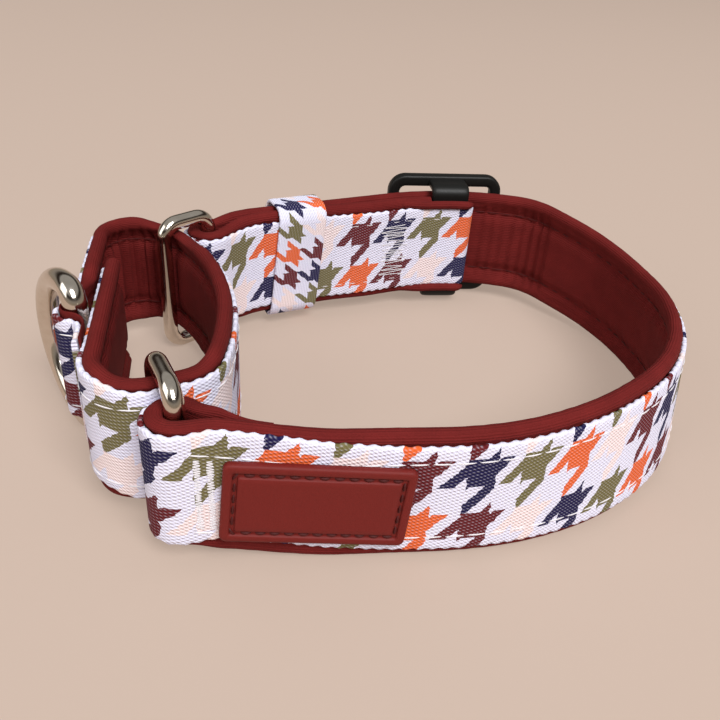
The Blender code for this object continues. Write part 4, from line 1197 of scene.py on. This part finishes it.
SLIDER_HALF = 17.5 * MM
SLIDER_SIDE_BAR = 3.5 * MM
SLIDER_DEPTH = 3.5 * MM
SLIDER_CORNER = 3.4 * MM
slider_heading = np.interp(SLIDER_RUN, NECK["run"], NECK["heading"])
slider_place = strap_point(NECK, SLIDER_RUN, 0.0, 0.0)[:2]
frame_reach = SLIDER_HALF - SLIDER_SIDE_BAR
strap_outside = BACK_RADIUS + SKIN
frame_front = strap_outside - math.sqrt(strap_outside**2 - frame_reach**2) - SKIN - GAP
frame_deep = frame_front - SLIDER_DEPTH / 2
frame_wide, frame_high = SLIDER_HALF - SLIDER_SIDE_BAR / 2, SLOT_HALF + SLIDER_RAIL / 2
frame_outline = rounded_outline(frame_wide, frame_high, SLIDER_CORNER)
frame_base = slider_place + left_of(slider_heading) * frame_deep
rail = squircle(SLIDER_RAIL / 2, SLIDER_DEPTH / 2, 4)
grid = upright_loop(frame_outline, frame_base, slider_heading, SLIDER_MIDDLE, rail)
slider_frame = skin("slider_frame", grid, grid[..., :2], ACETAL, looped=True)
dress(slider_frame, "slider", "plastic", "slider")

BAR_HIGH = SLOT_HALF + 1.4 * MM
BAR_CORNER = 1.7 * MM
bar_depth = (BAR_OUT + BAR_IN) / 2 - frame_deep - BAR_CORNER
bar_bend = arc(BAR_CORNER, -math.pi / 2)
bar_moves = [(bar_depth, 0.0), bar_bend, (2 * (BAR_HIGH - BAR_CORNER), 0.0), bar_bend, (bar_depth, 0.0)]
staple = trace((frame_deep, BAR_HIGH), 0.0, bar_moves)
staple_way = unit(staple[:, 3])
into = np.append(left_of(slider_heading), 0.0)
bar_path = np.append(slider_place, SLIDER_MIDDLE) + staple[:, 1:2] * into + staple[:, 2:3] * UPWARD
bar_tangent = staple_way[:, :1] * into + staple_way[:, 1:] * UPWARD
bar_normal = np.broadcast_to(np.append(unit(slider_heading), 0.0), bar_path.shape)
grid = carried(bar_path, bar_tangent, bar_normal, squircle(BAR_THICK / 2, BAR_HALF, 5))
slider_bar = skin("slider_bar", grid, grid[..., :2], ACETAL)
dress(slider_bar, "slider", "plastic")

# %% [markdown]
# ## Keeper
#
# The keeper is a short band of narrow tape that holds the doubled strap together. Its ends are lapped
# and sewn on the outside. A ready-made rounded box would have no lap, so the band is walked round the
# strap like a path, and its last wall lies on its first. It leans a little, as a loose band does.

# %% Keeper
KEEPER_THICK = 1.1 * MM
KEEPER_LAP = 12 * MM
KEEPER_CORNER = 3.2 * MM
KEEPER_LEAN = 0.1
KEEPER_COLUMNS = 15
keeper_near = -SKIN - GAP
keeper_far = TAIL_MID + TAPE_THICK / 2 + GAP
keeper_tall = PAD_WIDTH + 2 * GAP
quarter_turn = arc(KEEPER_CORNER, math.pi / 2)
keeper_wide = keeper_far - keeper_near - 2 * KEEPER_CORNER
half_wall = keeper_tall / 2 - KEEPER_CORNER + KEEPER_LAP / 2
keeper_moves = [
    (half_wall, 0.0),
    quarter_turn,
    (keeper_wide, 0.0),
    quarter_turn,
    (keeper_tall - 2 * KEEPER_CORNER, 0.0),
    quarter_turn,
    (keeper_wide + KEEPER_THICK + GAP, 0.0),
    quarter_turn,
    (half_wall, 0.0),
]
keeper_walk = trace((keeper_near, KEEPER_LAP / 2), -math.pi / 2, keeper_moves)
keeper_centre = strap_point(NECK, KEEPER_RUN, 0.0, 0.0)
keeper_into = np.append(left_of(TAIL), 0.0)
keeper_along = np.append(unit(TAIL), 0.0)


def keeper_point(side, height, along):
    """A place on the keeper: side into the neck, height from the strap's middle, along less the lean."""
    side, height, along = (np.asarray(value)[..., None] for value in (side, height, along))
    leaning = (along - KEEPER_LEAN * height) * keeper_along
    return keeper_centre + side * keeper_into + height * UPWARD + leaning


tape_share, tape_across, _ = tape_profile(KEEPER_WIDTH, KEEPER_THICK, KEEPER_COLUMNS)
keeper_left = left_of(keeper_walk[:, 3])
offset = KEEPER_THICK / 2 * (tape_share - 1)
grid = keeper_point(
    keeper_walk[:, 1:2] + keeper_left[:, :1] * offset,
    keeper_walk[:, 2:3] + keeper_left[:, 1:] * offset,
    tape_across[None] + 0 * keeper_walk[:, :1],
)
# The keeper's tape is cut from the same print, turned end for end.
keeper_print = (-0.5 * MM - keeper_walk[:, :1], -1.8 * MM - tape_across[None])
keeper = skin("keeper_band", grid, np.stack(np.broadcast_arrays(*keeper_print), -1), KEEPER_TAPE)
dress(keeper, "keeper", "webbing", "keeper")

# %% [markdown]
# ## Seam of the keeper
#
# A sewing machine closes such a lap with a zigzag. As hundreds of single stitches it would be heavy; it is
# one thread here, a sine from side to side while it climbs, with uneven steps as in real sewing.


# %% Seam of the keeper
def zigzag(width, height, turns):
    """A bartack's thread: side to side as an uneven sine while it climbs, as (across, up) rows."""
    t = np.linspace(0, 1, turns * 14)
    uneven = 1.1 * np.sin(2 * math.pi * 2.3 * t) + 0.7 * np.sin(2 * math.pi * 5.9 * t + 1.0)
    reach = width / 2 * (0.86 + 0.14 * np.sin(2 * math.pi * 3.7 * t))
    return reach * np.sin(2 * math.pi * turns * t + uneven), height * (t - 0.5)


SEAM_THREAD = 0.45 * MM
across, climb_up = zigzag(KEEPER_LAP / 2, KEEPER_WIDTH * 0.8, 7)
seam_side = keeper_near - 2 * KEEPER_THICK - GAP - SEAM_THREAD / 2
seam_points = keeper_point(np.full(len(across), seam_side), across, climb_up)
grid = thread_tube(seam_points, np.broadcast_to(-keeper_into, seam_points.shape), SEAM_THREAD / 2)
keeper_seam = skin("keeper_sewing", grid, grid[..., :2], WHITE_THREAD)
dress(keeper_seam, "keeper", "thread", "keeper_seam")

# %% [markdown]
# ## Patch
#
# The patch is a moulded rubber plate with a groove for its stitches; its face is left bare. A Boolean
# could cut the groove from a box. Here the outline is drawn in step by step, each step at its own
# level, so that edge, groove and face are one clean grid.

# %% Patch
LABEL_RUN = 24.9 * MM
LABEL_LENGTH = 34.5 * MM
LABEL_HEIGHT = 18 * MM
LABEL_RISE = 0.7 * MM
LABEL_CORNER = 1.4 * MM
GROOVE = 1.1 * MM
# Steps from the back edge to the face, as (inset, level) in mm.
LEVELS = np.array(
    [
        (0.15, 0.0), (0.0, 0.15), (0.0, 1.1), (0.15, 1.42), (0.5, 1.6), (1.45, 1.6),
        (1.65, 1.5), (1.8, 1.1), (2.6, 1.1), (2.75, 1.5), (2.95, 1.6), (4.0, 1.6),
    ]
) * MM
quarter_label = LABEL_LENGTH / 4
label_climb = neck_middle(LABEL_RUN + quarter_label) - neck_middle(LABEL_RUN - quarter_label)
label_slope = math.atan2(label_climb, 2 * quarter_label)
label_centre = strap_point(NECK, LABEL_RUN, 0.0, 0.0) + LABEL_RISE * UPWARD
label_along = np.append(unit(FRONT) * math.cos(label_slope), math.sin(label_slope))
label_out = np.append(-left_of(FRONT), 0.0)
label_up = np.cross(label_along, label_out)
label_base = SKIN + GAP


def label_outline(inset):
    """The patch's outline drawn in by an inset, with round corners."""
    radius = max(LABEL_CORNER - inset, 0.3 * MM)
    return rounded_outline(LABEL_LENGTH / 2 - inset, LABEL_HEIGHT / 2 - inset, radius)


def label_point(rows, out_by):
    """Rows of (along, up) on the patch, that far out from the strap's reference line."""
    on_plate = label_centre + rows[..., :1] * label_along + rows[..., 1:] * label_up
    return on_plate + np.asarray(out_by)[..., None] * label_out


grid = np.stack([label_point(label_outline(inset), label_base + level) for inset, level in LEVELS])
label = skin("label_plate", grid, grid[..., :2], RUBBER)
dress(label, "band", "patch", "label_patch")

STITCH_INSET = 2.2 * MM
LABEL_PITCH = 2.6 * MM
stitch_level = label_base + GROOVE + 0.2 * MM
knots, closed_row = closed_runs(label_outline(STITCH_INSET))
count = int(knots[-1] / LABEL_PITCH)
spots = (np.arange(count) + 0.5) * knots[-1] / count
centre = label_point(on_outline(spots, knots, closed_row), stitch_level)
tangent = normed(label_point(on_outline(spots + 0.05 * MM, knots, closed_row), stitch_level) - centre)
outward = np.broadcast_to(label_out, centre.shape)
label_thread = stitches("label_sewing", centre, tangent, outward, 2.0 * MM, 0.55 * MM, DARK_THREAD)
dress(label_thread, "band", "dark_thread", "label_stitching")

# %% [markdown]
# ## Bartacks
#
# Bartacks are the dense zigzags that close a fold where it is pulled: two at the front ring, one on each
# side of the D-ring's tunnel, and a wide one on the tail. Each is one thread from the same zigzag as the
# keeper's seam, laid on the strap's face instead of on a plane.


# %% Bartacks
TACK_HEIGHT = 16 * MM
TACK_WIDTH = 1.3 * MM
TACK_THREAD = 0.2 * MM
TAPE_FACE = -(SKIN + 0.08 * MM)


def face_normal(strap, runs, outward):
    """Level normals of a strap: outward is -1 for the tape's side of the strap, +1 for the pad's."""
    heading = np.interp(runs, strap["run"], strap["heading"])
    return np.column_stack([outward * left_of(heading), np.zeros(len(runs))])


def bartack(name, strap, run, side, width, turns):
    """A zigzag of fine thread on the tape's face of a strap."""
    across, up_by = zigzag(width, TACK_HEIGHT, turns)
    points = strap_point(strap, run + across, side, up_by)
    grid = thread_tube(points, face_normal(strap, run + across, -1), TACK_THREAD / 2)
    return skin(name + "_sewing", grid, grid[..., :2], WHITE_THREAD)


for name, strap, body, run in (
    ("front_bartack_1", NECK, "band", 3.8 * MM),
    ("front_bartack_2", NECK, "band", 6.1 * MM),
    ("loop_bartack_rear", LOOP, "control_loop", LOOP_KNOTS[8] - 1.3 * MM),
    ("loop_bartack_front", LOOP, "control_loop", LOOP_KNOTS[12] - 1.3 * MM),
):
    dress(bartack(name, strap, run, TAPE_FACE, TACK_WIDTH, 26), body, "thread", name)
tail_tack_run = np.interp(-(RETURN_END - 4.5 * MM), -tail_runs, under_runs)
tail_face = -TAPE_THICK / 2 - 0.06 * MM
tail_tack = bartack("tail_bartack", TAIL_STRAP, tail_tack_run, tail_face, 9 * MM, 12)
dress_tail(tail_tack, "thread", "tail_bartack")

# %% [markdown]
# ## Edge stitching
#
# Two long rows of stitches hold tape and pad together: white ones on the tape, dark ones in the pad's
# channels. Drawn in a finish they would look flat where the strap turns away, so each stitch is a small
# capsule. On the tail they are sunk into the tape, so that the keeper can slide over them.


# %% Edge stitching
STITCH_PITCH = 4.3 * MM
STITCH_LENGTH = 4.0 * MM
STITCH_THICK = 0.32 * MM
EDGE_ROW = 9.0 * MM
ON_TAPE = -SKIN - 0.05 * MM
IN_CHANNEL = PAD_THICK * 0.62


def sewn_rows(name, strap, begin, end, side, height, outward, material):
    """Two long sewn rows on a strap, near its upper and its lower edge; tangents come from a small step."""
    runs = np.arange(begin + STITCH_PITCH, end - STITCH_PITCH, STITCH_PITCH)
    heights = np.repeat([height, -height], len(runs))
    runs = np.tile(runs, 2)
    centre = strap_point(strap, runs, side, heights)
    tangent = normed(strap_point(strap, runs + 0.1 * MM, side, heights) - centre)
    normal = face_normal(strap, runs, outward)
    return stitches(name, centre, tangent, normal, STITCH_LENGTH, STITCH_THICK, material)


main_span = (MAIN, lead_length, lead_length + NECK_LENGTH)
loop_span = (LOOP, 0.0, loop_end)
white_row = (ON_TAPE, EDGE_ROW, -1, WHITE_THREAD)
dark_row = (IN_CHANNEL, CHANNEL, 1, DARK_THREAD)
for name, span, kind, body, slot in (
    ("main_tape_sewing", main_span, white_row, "band", "thread"),
    ("loop_tape_sewing", loop_span, white_row, "control_loop", "thread"),
    ("main_pad_sewing", main_span, dark_row, "band", "dark_thread"),
    ("loop_pad_sewing", loop_span, dark_row, "control_loop", "dark_thread"),
):
    dress(sewn_rows(name, *span, *kind), body, slot)
sunk_row = (-TAPE_THICK / 2 + 0.1 * MM, EDGE_ROW, -1, WHITE_THREAD)
dress_tail(sewn_rows("tail_tape_sewing", TAIL_STRAP, 0.0, under_runs[-1], *sunk_row), "thread")
